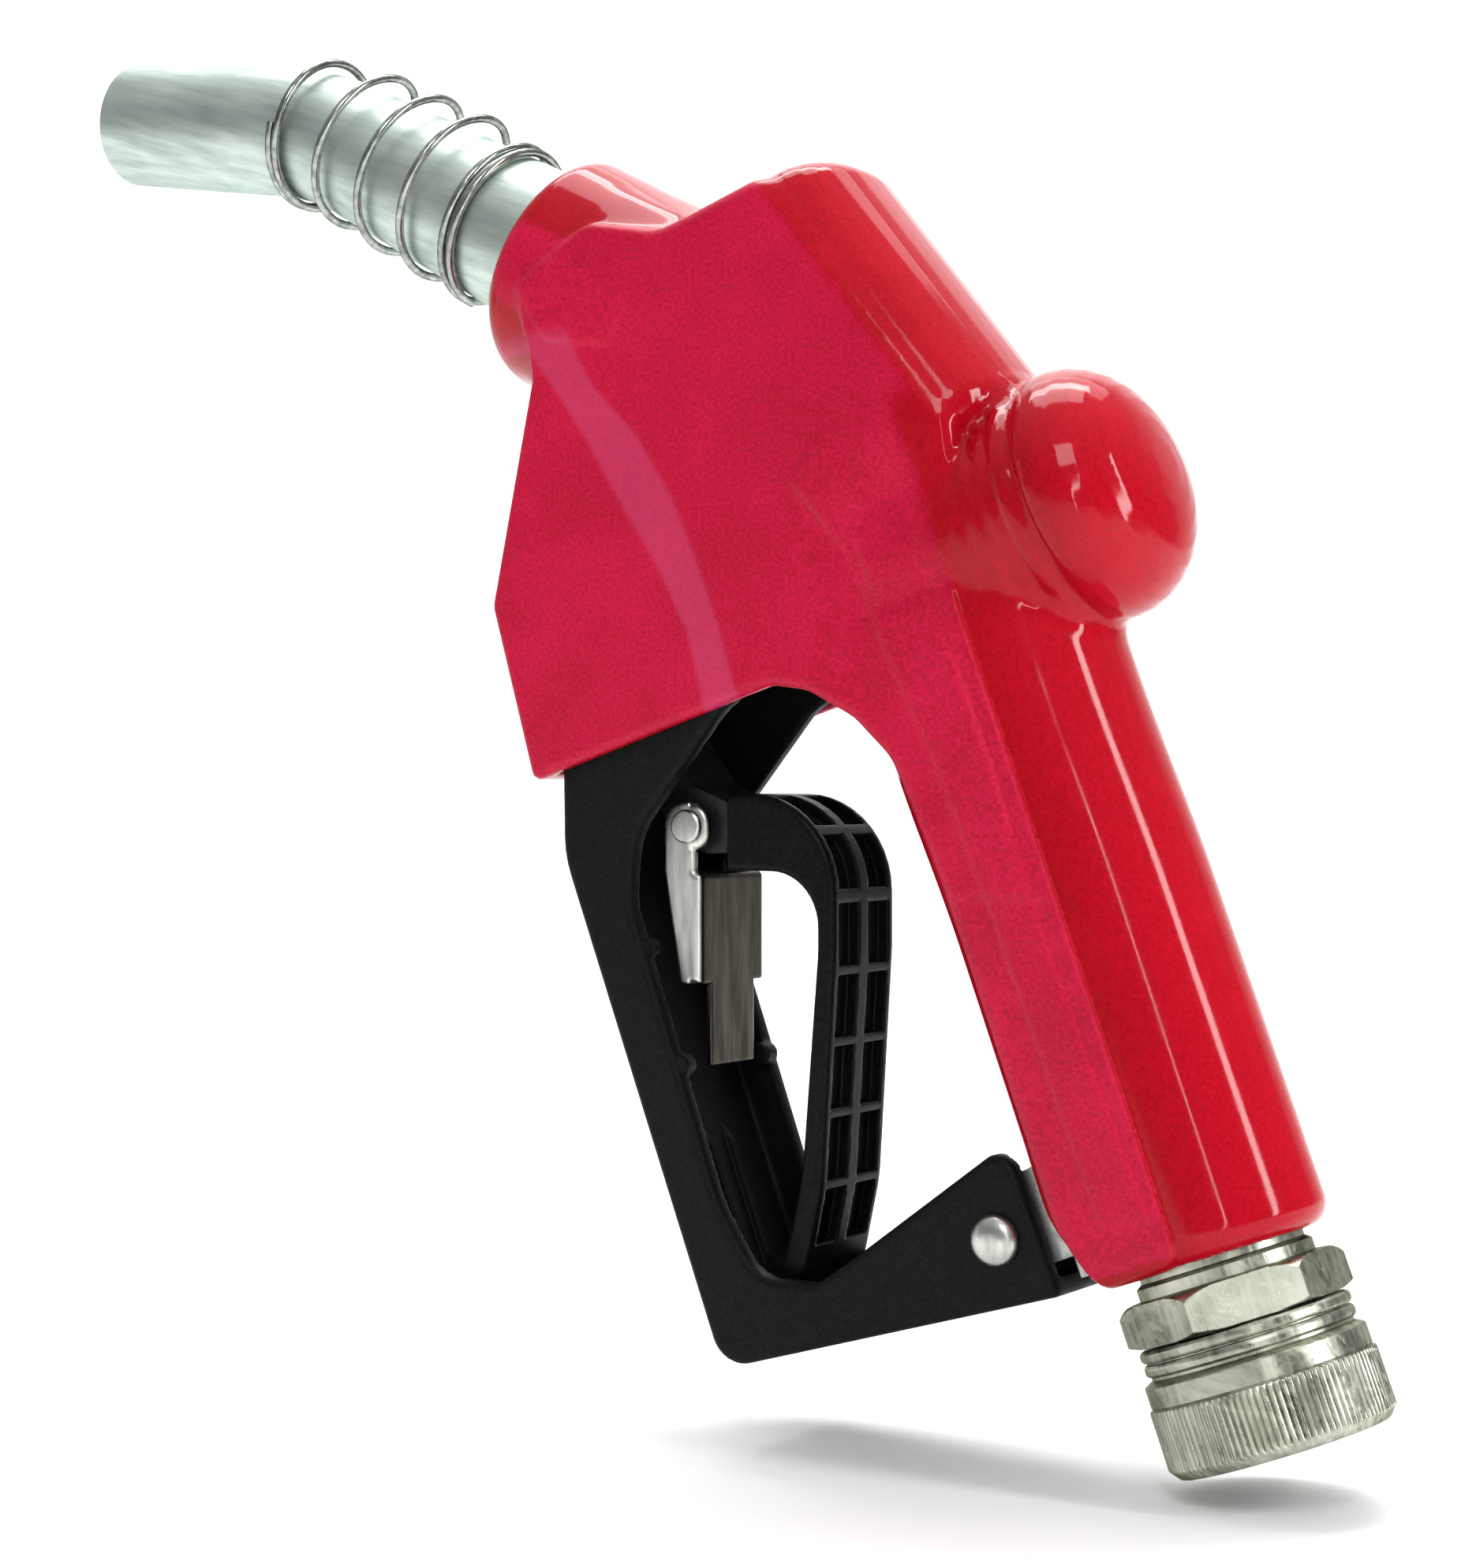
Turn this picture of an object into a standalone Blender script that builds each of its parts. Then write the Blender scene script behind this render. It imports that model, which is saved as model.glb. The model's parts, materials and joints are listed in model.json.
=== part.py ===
"""Automatic fuel nozzle, built as the separate pieces it is assembled from.

Lengths are in millimetres and are turned into metres where meshes are made. +Z is up, the nozzle's
plane of symmetry is XZ, and the origin is the centre of the hose inlet's end face. The grip leans
back by GRIP_LEAN, so positions on the grip and on the main valve are given along two tilted axes:
a, across the grip and outward through the main valve cap, and b, up along the grip.
"""
import math

import bmesh
import bpy
from mathutils import Matrix, Vector

MM = 0.001
GAP = 0.3                     # clearance between pieces that touch
WELD = 0.01                   # merging distance

# --- driving dimensions -------------------------------------------------------------------------
GRIP_LEAN = math.radians(20.5)
BODY_HALF = 20.0              # half width of the body's flat sides
COVER_WALL = 2.8
GRIP_HALF = 19.3
GRIP_FRONT = -20.5            # a of the grip's front face
GRIP_BACK_CENTRE = -1.5       # a of the centre of the rounded back
GRIP_BOTTOM = 31.5            # b of the grip's lower end
GRIP_TOP = 150.0
VALVE_B = 154.5               # b of the main valve's axis
BODY_EDGE = 2.5               # rounding of the flat sides' edges

SPOUT_ROOT = (-151.3, 206.9)  # where the spout's axis meets the boot's mouth plane line
SPOUT_ROOT_ANGLE = math.radians(27.6)
SPOUT_TIP_ANGLE = math.radians(8.9)
SPOUT_TIP_LINE = 49.5         # tip to bend vertex
SPOUT_ROOT_LINE = 51.9        # bend vertex to root
SPOUT_BEND_RADIUS = 60.0
SPOUT_TIP_RADIUS = 12.0
SPOUT_BEND_OD_RADIUS = 12.5
SPOUT_ROOT_RADIUS = 14.1
SPOUT_INSERT_RADIUS = 13.0
SPOUT_WALL = 1.5
BOOT_RADIUS = 19.3
BOOT_MOUTH = 12.0             # distance inward from the spout root
BOOT_END = 48.0

TRIP_ANGLE = math.radians(39.0)
TRIP_TOP = (-67.3, 186.3)     # where the trip axis leaves the body's sloping flat
PIVOT_DEPTH = 78.0            # lever pivot, down the trip axis

PIVOT_PIN = 2.0               # radius of the lever's pin
EYE_HALF = 4.0                # half width of the trip stem's eye
NOSE_RADIUS = 4.0             # radius of the lever arm's nose under the main stem

CLIP_PIN = (-106.4, 97.4)
CLIP_PIN_RADIUS = 1.9
CLIP_HALF = 10.5
CLIP_SHEET = 1.2
CLIP_WEB = -103.6             # x of the clip's web
TONGUE_HALF = 7.0
LOOP_HALF = 10.5
ARM_HALF = 7.5

RIVET = (-42.9, 31.3)
RIVET_RADIUS = 2.5
GUARD_SCREW = (-93.0, 130.0)
SCREW_RADIUS = 2.0
GUARD_HALF = 16.5
GUARD_WALL = 3.0
PEG_RADIUS = 2.0
PEG_REACH = 11.6              # y of the guard's stop pegs' inner ends

SPOUT_INSERT_END = 29.0
SENSE_DISTANCE = 16.0         # sensing port, from the tip
SENSE_RADIUS = 1.8
VENT_DROP = 7.2               # vent tube's distance below the spout's axis
ANCHOR_START = 40.0           # anchor spring's free end, from the tip
ANCHOR_PITCH = 12.8
ANCHOR_TURNS = 4
ANCHOR_CLOSE_TURNS = 2
ANCHOR_WIRE = 0.78            # wire radius

HEX_LOW = 21.0
HEX_HIGH = 28.0
HEX_CORNER = 18.75
NUT_RADIUS = 18.7
STUD_BORE = 8.0

ROUND = 28                    # facets of large turned pieces
INNER_ROUND = 18              # facets of inner rings, seals and discs
SMALL_ROUND = 14
PIN_ROUND = 10
TUBE_SIDES = 20
SPOUT_STEPS = 12
ANCHOR_STEPS = 14             # steps in each turn of the anchor spring

COLOURS = {
    "red_vinyl": ((0.62, 0.02, 0.04), 0.0, 0.3),
    "black_plastic": ((0.02, 0.02, 0.02), 0.0, 0.5),
    "gloss_black": ((0.01, 0.01, 0.01), 0.0, 0.25),
    "cast_aluminium": ((0.6, 0.6, 0.6), 0.9, 0.5),
    "aluminium_tube": ((0.75, 0.75, 0.74), 1.0, 0.3),
    "spring_steel": ((0.7, 0.7, 0.7), 1.0, 0.2),
    "zinc_steel": ((0.75, 0.75, 0.74), 1.0, 0.3),
    "nickel_brass": ((0.72, 0.71, 0.66), 1.0, 0.25),
    "brass": ((0.7, 0.52, 0.2), 1.0, 0.35),
    "rubber": ((0.03, 0.03, 0.03), 0.0, 0.7),
}

# --- scene --------------------------------------------------------------------------------------
for old in list(bpy.data.objects):
    bpy.data.objects.remove(old, do_unlink=True)

PARTS = bpy.data.collections.new("fuel_nozzle")
CUTTERS = bpy.data.collections.new("cutters")
bpy.context.scene.collection.children.link(PARTS)
bpy.context.scene.collection.children.link(CUTTERS)
MATERIALS = {}


def material(name):
    """The Principled material of that name."""
    if name not in MATERIALS:
        colour, metallic, roughness = COLOURS[name]
        made = bpy.data.materials.new(name)
        made.use_nodes = True
        shader = made.node_tree.nodes["Principled BSDF"]
        shader.inputs["Base Color"].default_value = (*colour, 1.0)
        shader.inputs["Metallic"].default_value = metallic
        shader.inputs["Roughness"].default_value = roughness
        MATERIALS[name] = made
    return MATERIALS[name]


def place(obj, finish=None):
    """Links an object as a part with a finish, or as a cutter without one."""
    if finish is None:
        CUTTERS.objects.link(obj)
        obj.hide_render = True
        obj.display_type = "WIRE"
    else:
        PARTS.objects.link(obj)
        obj.data.materials.append(material(finish))
    return obj


# --- places -------------------------------------------------------------------------------------
def grip_xz(a, b):
    """World x and z of the grip coordinates a and b."""
    lean_cos = math.cos(GRIP_LEAN)
    lean_sin = math.sin(GRIP_LEAN)
    return (a * lean_cos - b * lean_sin, a * lean_sin + b * lean_cos)


def spout_xz(depth, across=0.0):
    """World x and z at a depth inside the spout's root, across towards the top."""
    along = (math.cos(SPOUT_ROOT_ANGLE), -math.sin(SPOUT_ROOT_ANGLE))
    up = (math.sin(SPOUT_ROOT_ANGLE), math.cos(SPOUT_ROOT_ANGLE))
    return (SPOUT_ROOT[0] + along[0] * depth + up[0] * across,
            SPOUT_ROOT[1] + along[1] * depth + up[1] * across)


def trip_xz(depth, along=0.0):
    """World x and z at a depth down the trip axis, along the body's sloping flat."""
    down = (-math.cos(TRIP_ANGLE), -math.sin(TRIP_ANGLE))
    ridge = (math.sin(TRIP_ANGLE), -math.cos(TRIP_ANGLE))
    return (TRIP_TOP[0] + down[0] * depth + ridge[0] * along,
            TRIP_TOP[1] + down[1] * depth + ridge[1] * along)


def metres(x, y, z):
    """A world point in metres from millimetres."""
    return Vector((x, y, z)) * MM


VALVE_AXIS = (math.cos(GRIP_LEAN), math.sin(GRIP_LEAN))
GRIP_UP = (-math.sin(GRIP_LEAN), math.cos(GRIP_LEAN))
SPOUT_IN = (math.cos(SPOUT_ROOT_ANGLE), -math.sin(SPOUT_ROOT_ANGLE))
SPOUT_UP = (math.sin(SPOUT_ROOT_ANGLE), math.cos(SPOUT_ROOT_ANGLE))
TRIP_DOWN = (-math.cos(TRIP_ANGLE), -math.sin(TRIP_ANGLE))
RIDGE = (math.sin(TRIP_ANGLE), -math.cos(TRIP_ANGLE))
PIVOT = trip_xz(PIVOT_DEPTH)


# --- shapes -------------------------------------------------------------------------------------
def mesh_object(name, mesh, finish=None):
    """A new object of a mesh."""
    return place(bpy.data.objects.new(name, mesh), finish)


def aim(obj, origin, direction):
    """Puts an object's origin at x, z and turns its Z axis to a direction in the XZ plane."""
    obj.location = metres(origin[0], 0.0, origin[1])
    obj.rotation_euler = (0.0, math.atan2(direction[0], direction[1]), 0.0)
    return obj


def turned(name, profile, origin, direction, finish=None, facets=ROUND):
    """A profile of (radius, height) points, outer side from the top down, screwed about an axis."""
    mesh = bpy.data.meshes.new(name)
    points = [(radius * MM, 0.0, height * MM) for radius, height in profile]
    closed = min(radius for radius, _ in profile) > 0.0
    edges = [(index, index + 1) for index in range(len(points) - 1)]
    if closed:
        edges.append((len(points) - 1, 0))
    mesh.from_pydata(points, edges, [])
    obj = mesh_object(name, mesh, finish)
    screw = obj.modifiers.new("turn", "SCREW")
    screw.steps = facets
    screw.render_steps = facets
    screw.use_merge_vertices = True
    screw.merge_threshold = WELD * MM
    return aim(obj, origin, direction)


def ring_profile(inner, outer, low, high):
    """The profile of a plain ring."""
    return [(outer, high), (outer, low), (inner, low), (inner, high)]


def rod_profile(radius, low, high):
    """The profile of a plain rod."""
    return [(0.0, high), (radius, high), (radius, low), (0.0, low)]


def donut_profile(centre_radius, wire, height, sides=6):
    """The round profile of an O-ring."""
    turns = [-2.0 * math.pi * step / sides for step in range(sides)]
    return [(centre_radius + wire * math.cos(turn), height + wire * math.sin(turn)) for turn in turns]


def turned_across(name, profile, xz, finish=None, facets=PIN_ROUND):
    """A turned piece about the Y axis through x, z; heights run along Y."""
    obj = turned(name, profile, xz, (0.0, 1.0), finish, facets)
    obj.rotation_euler = (math.radians(-90.0), 0.0, 0.0)
    return obj


def cross_pin(name, xz, radius, low, high, finish=None, facets=PIN_ROUND):
    """A rod along Y at x, z."""
    return turned_across(name, rod_profile(radius, low, high), xz, finish, facets)


def rounded(corners):
    """A closed outline from (x, y, radius) corners, each rounded by an arc of its radius."""
    outline = []
    count = len(corners)
    for index, (x, y, radius) in enumerate(corners):
        corner = Vector((x, y))
        if radius == 0.0:
            outline.append((x, y))
            continue
        before = (Vector(corners[index - 1][:2]) - corner).normalized()
        after = (Vector(corners[(index + 1) % count][:2]) - corner).normalized()
        half_angle = before.angle(after) / 2.0
        reach = radius / math.tan(half_angle)
        centre = corner + (before + after).normalized() * (radius / math.sin(half_angle))
        first = (corner + before * reach - centre).normalized()
        last = (corner + after * reach - centre).normalized()
        steps = max(1, round(math.degrees(first.angle(last)) / 20.0))
        for step in range(steps + 1):
            outline.append(tuple(centre + first.slerp(last, step / steps) * radius))
    return outline


def inset_outline(points, inset):
    """A closed outline moved inward by a distance; the points run anticlockwise."""
    moved = []
    count = len(points)
    for index in range(count):
        here = Vector(points[index])
        to_here = (here - Vector(points[index - 1])).normalized()
        onward = (Vector(points[(index + 1) % count]) - here).normalized()
        normal_in = Vector((-to_here.y, to_here.x))
        normal_out = Vector((-onward.y, onward.x))
        bisector = (normal_in + normal_out).normalized()
        moved.append(tuple(here + bisector * (inset / bisector.dot(normal_in))))
    return moved


def extruded(name, outline, thickness, finish=None, bevel=0.0):
    """A flat outline in local XY, thickened along local Z about its middle."""
    curve = bpy.data.curves.new(name, "CURVE")
    curve.dimensions = "2D"
    curve.fill_mode = "BOTH"
    curve.extrude = thickness / 2.0 * MM
    spline = curve.splines.new("POLY")
    spline.points.add(len(outline) - 1)
    for point, (x, y) in zip(spline.points, outline):
        point.co = (x * MM, y * MM, 0.0, 1.0)
    spline.use_cyclic_u = True
    holder = bpy.data.objects.new(name + "_curve", curve)
    CUTTERS.objects.link(holder)
    bpy.context.view_layer.update()
    graph = bpy.context.evaluated_depsgraph_get()
    mesh = bpy.data.meshes.new_from_object(holder.evaluated_get(graph))
    bpy.data.objects.remove(holder, do_unlink=True)
    shape = bmesh.new()
    shape.from_mesh(mesh)
    bmesh.ops.remove_doubles(shape, verts=shape.verts, dist=WELD * MM)
    bmesh.ops.recalc_face_normals(shape, faces=shape.faces)
    shape.to_mesh(mesh)
    shape.free()
    obj = mesh_object(name, mesh, finish)
    if bevel:
        edge = obj.modifiers.new("edge", "BEVEL")
        edge.width = bevel * MM
        edge.segments = 2
        edge.limit_method = "ANGLE"
        edge.angle_limit = math.radians(60.0)
    return obj


def prism(name, outline, low, high, finish=None, bevel=0.0, pivot=(0.0, 0.0)):
    """An XZ outline that fills the span low to high along Y, its origin at the pivot's x, z."""
    local = [(x - pivot[0], z - pivot[1]) for x, z in outline]
    obj = extruded(name, local, high - low, finish, bevel)
    obj.rotation_euler = (math.radians(90.0), 0.0, 0.0)
    obj.location = metres(pivot[0], (low + high) / 2.0, pivot[1])
    return obj


def grip_prism(name, outline, low, high, finish=None, bevel=0.0):
    """An outline across the grip, in a and y, that fills the span low to high along b."""
    obj = extruded(name, outline, high - low, finish, bevel)
    x, z = grip_xz(0.0, (low + high) / 2.0)
    return aim(obj, (x, z), GRIP_UP)


def swept(name, points, radii, wire_sides, finish=None):
    """A round tube or wire along world points, with a radius at each point."""
    curve = bpy.data.curves.new(name, "CURVE")
    curve.dimensions = "3D"
    curve.bevel_depth = MM
    curve.bevel_resolution = wire_sides // 2 - 2
    curve.use_fill_caps = True
    spline = curve.splines.new("POLY")
    spline.points.add(len(points) - 1)
    for point, place_at, radius in zip(spline.points, points, radii):
        point.co = (*(Vector(place_at) * MM), 1.0)
        point.radius = radius
    return place(bpy.data.objects.new(name, curve), finish)


def as_mesh(curve_object, finish=None):
    """A curve object remade as a closed mesh object."""
    bpy.context.view_layer.update()
    graph = bpy.context.evaluated_depsgraph_get()
    mesh = bpy.data.meshes.new_from_object(curve_object.evaluated_get(graph))
    name = curve_object.name
    matrix = curve_object.matrix_world.copy()
    bpy.data.objects.remove(curve_object, do_unlink=True)
    shape = bmesh.new()
    shape.from_mesh(mesh)
    bmesh.ops.remove_doubles(shape, verts=shape.verts, dist=WELD * MM)
    bmesh.ops.recalc_face_normals(shape, faces=shape.faces)
    shape.to_mesh(mesh)
    shape.free()
    mesh.materials.clear()
    made = mesh_object(name, mesh, finish)
    made.matrix_world = matrix
    return made


def combine(target, others, operation):
    """Joins to or cuts from a target each of the other objects."""
    for other in others:
        step = target.modifiers.new(operation.lower(), "BOOLEAN")
        step.operation = operation
        step.object = other
        step.solver = "EXACT"
    return target


def join(target, *others):
    """Adds cutter objects to a target."""
    return combine(target, others, "UNION")


def cut(target, *others):
    """Takes cutter objects out of a target."""
    return combine(target, others, "DIFFERENCE")


def helix(origin, direction, radius, low, high, turns, steps=10):
    """World points of a coil about an axis in the XZ plane."""
    axis = Vector((direction[0], 0.0, direction[1]))
    side = Vector((0.0, 1.0, 0.0))
    other = axis.cross(side)
    start = Vector((origin[0], 0.0, origin[1]))
    count = round(turns * steps)
    points = []
    for step in range(count + 1):
        angle = 2.0 * math.pi * step / steps
        height = low + (high - low) * step / count
        offset = side * math.cos(angle) + other * math.sin(angle)
        points.append(tuple(start + axis * height + offset * radius))
    return points


def coil(name, origin, direction, radius, wire, low, high, turns, finish="spring_steel"):
    """A helical spring, its wire ends inside the span low to high."""
    points = helix(origin, direction, radius, low + wire, high - wire, turns)
    return swept(name, points, [wire] * len(points), 4, finish)


# --- the outer form shared by cover and casting --------------------------------------------------
BODY_OUTLINE = [
    (-133.5, 105.5), (-90.0, 119.5), (-84.0, 121.6), (-77.0, 120.8), (-68.0, 116.3), (-60.5, 109.0),
    (-57.0, 102.0), (-50.0, 86.0), (-32.0, 86.0), grip_xz(-1.5, 105.0), grip_xz(-1.5, 128.0),
    grip_xz(2.0, 142.0), grip_xz(8.0, 160.0), trip_xz(0.0, 27.0), trip_xz(0.0, -28.0), (-107.0, 200.5),
    (-122.0, 203.0), (-137.0, 193.0), (-134.1, 176.5), (-142.8, 136.5),
]
CROWN_START = -29.0           # the crown's ends along the sloping flat
CROWN_END = 30.0
CROWN_SECTION = [(9.0, -18.0), (9.0, 18.0), (0.2, 18.6), (-2.8, 16.6), (-5.2, 13.4), (-7.0, 9.2),
                 (-7.9, 4.0), (-7.9, -4.0), (-7.0, -9.2), (-5.2, -13.4), (-2.8, -16.6),
                 (0.2, -18.6)]
KNOB_PROFILE = [
    (0.0, 36.2), (7.0, 35.8), (12.5, 34.3), (17.0, 31.6), (20.0, 28.0), (21.2, 25.5), (20.7, 23.9),
    (22.0, 22.4), (22.0, 20.4), (20.4, 18.0), (20.2, 16.0), (20.2, -12.0), (0.0, -12.0),
]
CASTING_KNOB_END = 22.0


def grip_section(inset):
    """The grip's section in a and y: flat front and sides, round back."""
    front = GRIP_FRONT + inset
    half = GRIP_HALF - inset
    corner = max(4.5 - inset, 1.2)
    section = rounded([(GRIP_BACK_CENTRE, half, 0.0), (front, half, corner),
                       (front, -half, corner), (GRIP_BACK_CENTRE, -half, 0.0)])
    facets = 12
    for step in range(1, facets):
        angle = math.pi * step / facets - math.pi / 2.0
        section.append((GRIP_BACK_CENTRE + half * math.cos(angle), half * math.sin(angle)))
    return section


def body_form(name, inset, finish=None, knob_end=None):
    """The body's outer form drawn in by an inset: side slab, grip, valve boss and spout boot."""
    tag = name + "_"
    edge = max(BODY_EDGE - inset, 0.0)
    slab = prism(name, inset_outline(BODY_OUTLINE, inset), inset - BODY_HALF, BODY_HALF - inset,
                 finish, edge)
    grip = grip_prism(tag + "grip", grip_section(inset), GRIP_BOTTOM + inset, GRIP_TOP, bevel=edge)
    if knob_end is None:
        profile = [(max(radius - inset, 0.0), height - inset if height > 0.0 else height)
                   for radius, height in KNOB_PROFILE]
        profile[0] = (0.0, KNOB_PROFILE[0][1] - inset)
    else:
        profile = rod_profile(KNOB_PROFILE[-2][0] - inset, KNOB_PROFILE[-1][1], knob_end)
    knob = turned(tag + "knob", profile, grip_xz(0.0, VALVE_B), VALVE_AXIS)
    boot = turned(tag + "boot", rod_profile(BOOT_RADIUS - inset, BOOT_MOUTH + inset, BOOT_END),
                  SPOUT_ROOT, SPOUT_IN)
    crown = extruded(tag + "crown", inset_outline(CROWN_SECTION, inset),
                     CROWN_END - CROWN_START - 2.0 * inset, bevel=edge)
    aim(crown, trip_xz(0.0, (CROWN_START + CROWN_END) / 2.0), RIDGE)
    return join(slab, grip, knob, boot, crown)


# --- body casting and cover ----------------------------------------------------------------------
LUG_HALF = 13.1
SKIRT_SPACE = [(-165.0, 90.0), (-82.0, 90.0), (-82.0, 117.0), (-103.5, 130.5), (-119.0, 152.0),
               (-165.0, 152.0)]
CHEEK_SPACE = [(-132.0, 100.0), (-85.0, 100.0), (-85.0, 138.0), (-132.0, 138.0)]
NOTCH = [grip_xz(-40.0, 20.0), grip_xz(-12.6, 20.0), grip_xz(-12.6, 31.5), grip_xz(-16.2, 40.0),
         grip_xz(-22.0, 52.0), grip_xz(-40.0, 52.0)]   # bares the lug at the foot of the grip
SEAT_FACE = -9.0              # a of the main valve seat's sealing face
SEAT_BACK = -14.0
CHAMBER_RADIUS = 14.5
OUTLET_END = -34.0
GLAND_WALL = -52.0
STEM_TIP = -64.3
STEM_RADIUS = 2.4
GLAND_RADIUS = 4.2
PASSAGE_A = 1.0
PASSAGE_RADIUS = 9.5
THREAD_RADIUS = 12.2
SPOUT_BORE = 13.3
CHECK_CHAMBER_END = 58.0
OUTLET_A = -25.0
OUTLET_RADIUS = 9.0
DIAPHRAGM_FLAT = 10.6         # depth of the casting's flat under the diaphragm
DIAPHRAGM_RADIUS = 14.8
SET_SCREW_DEPTH = 26.5
CAP_SCREWS = [(13.0, 13.0), (13.0, -13.0), (-13.0, 13.0), (-13.0, -13.0)]


def lug_outline(grow=0.0):
    """The lug on the front of the grip that carries the guard's rivet."""
    return rounded([(*grip_xz(-14.0, 38.5 - grow), 0.0), (*grip_xz(-14.0, 54.0 + grow), 0.0),
                    (RIVET[0] - 4.0 - grow, RIVET[1] + 8.0 + grow, 3.0),
                    (RIVET[0] - 7.0 - grow, RIVET[1] - 1.0, 3.0),
                    (RIVET[0] + 1.0, RIVET[1] - 6.5 - grow, 3.0)][::-1])


def make_casting():
    """The aluminium body: everything is bored into it or bolted on it."""
    casting = body_form("body_casting", COVER_WALL + GAP, "cast_aluminium", CASTING_KNOB_END)
    lug = prism("casting_lug", lug_outline(), -LUG_HALF, LUG_HALF)
    join(casting, lug)
    valve = grip_xz(0.0, VALVE_B)
    bores = [
        prism("casting_skirt", SKIRT_SPACE, -30.0, 30.0),
        prism("casting_cheek_near", CHEEK_SPACE, -30.0, -GUARD_HALF + GUARD_WALL + GAP),
        prism("casting_cheek_far", CHEEK_SPACE, GUARD_HALF - GUARD_WALL - GAP, 30.0),
        turned("casting_chamber", rod_profile(CHAMBER_RADIUS, SEAT_BACK - GAP, 40.0), valve,
               VALVE_AXIS),
        turned("casting_outlet", rod_profile(12.0, OUTLET_END, SEAT_BACK), valve, VALVE_AXIS),
        turned("casting_gland", rod_profile(GLAND_RADIUS + GAP, -70.0, -39.4 + GAP), valve,
               VALVE_AXIS, facets=SMALL_ROUND),
        turned("casting_stem", rod_profile(STEM_RADIUS + GAP, -70.0, OUTLET_END + 1.0), valve,
               VALVE_AXIS, facets=PIN_ROUND),
        turned("casting_passage", rod_profile(PASSAGE_RADIUS, GRIP_BOTTOM, 144.0),
               grip_xz(PASSAGE_A, 0.0), GRIP_UP),
        turned("casting_thread", rod_profile(THREAD_RADIUS + GAP, GRIP_BOTTOM, 47.0), (0.0, 0.0),
               GRIP_UP),
        turned("casting_riser", rod_profile(OUTLET_RADIUS, 152.0, 196.0), grip_xz(OUTLET_A, 0.0),
               GRIP_UP, facets=SMALL_ROUND),
        turned("casting_spout", rod_profile(SPOUT_BORE, 0.0, CHECK_CHAMBER_END), SPOUT_ROOT,
               SPOUT_IN),
        turned("casting_trip", rod_profile(5.8, 0.0, 70.0), TRIP_TOP, TRIP_DOWN,
               facets=SMALL_ROUND),
        turned("casting_diaphragm", rod_profile(10.5, 0.0, 15.0), TRIP_TOP, TRIP_DOWN),
        prism("casting_flat", [trip_xz(-15.0, -19.0), trip_xz(DIAPHRAGM_FLAT, -19.0),
                               trip_xz(DIAPHRAGM_FLAT, 19.0), trip_xz(-15.0, 19.0)], -30.0, 30.0),
        cross_pin("casting_rivet", RIVET, RIVET_RADIUS + GAP, -20.0, 20.0),
        cross_pin("casting_screw_near", GUARD_SCREW, SCREW_RADIUS + GAP, -20.0, -7.5),
        cross_pin("casting_screw_far", GUARD_SCREW, SCREW_RADIUS + GAP, 7.5, 20.0),
        turned("casting_set_screw", rod_profile(SCREW_RADIUS + GAP, -20.0, -9.0),
               spout_xz(SET_SCREW_DEPTH), SPOUT_UP, facets=PIN_ROUND),
    ]
    for number, (along, across) in enumerate(CAP_SCREWS, 1):
        hole = turned("casting_cap_screw_%d" % number, rod_profile(1.6 + GAP, 0.0, 19.0),
                      trip_xz(0.0, along), TRIP_DOWN, facets=PIN_ROUND)
        hole.location.y = across * MM
        bores.append(hole)
    return cut(casting, *bores)


def make_cover():
    """The moulded vinyl cover that is pulled over the casting."""
    cover = body_form("scuff_cover", 0.0, "red_vinyl")
    hollow = body_form("cover_hollow", COVER_WALL)
    skirt_inner = BODY_HALF - COVER_WALL
    skirt_mouth = prism("cover_skirt_mouth",
                        [(-130.6, 95.0), (-67.0, 95.0), (-67.0, 121.0), (-84.0, 128.0),
                         (-129.6, 112.0)],
                        -skirt_inner, skirt_inner)
    boot_mouth = turned("cover_boot_mouth", rod_profile(SPOUT_ROOT_RADIUS + 0.5, 0.0, 20.0),
                        SPOUT_ROOT, SPOUT_IN)
    hose_mouth = turned("cover_hose_mouth", rod_profile(15.0, 25.0, 40.0), (0.0, 0.0), GRIP_UP)
    lug_slot = prism("cover_lug_slot", lug_outline(1.0), -LUG_HALF - GAP, LUG_HALF + GAP)
    notch = prism("cover_notch", NOTCH, -30.0, 30.0)
    return cut(cover, hollow, skirt_mouth, boot_mouth, hose_mouth, lug_slot, notch)


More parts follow.
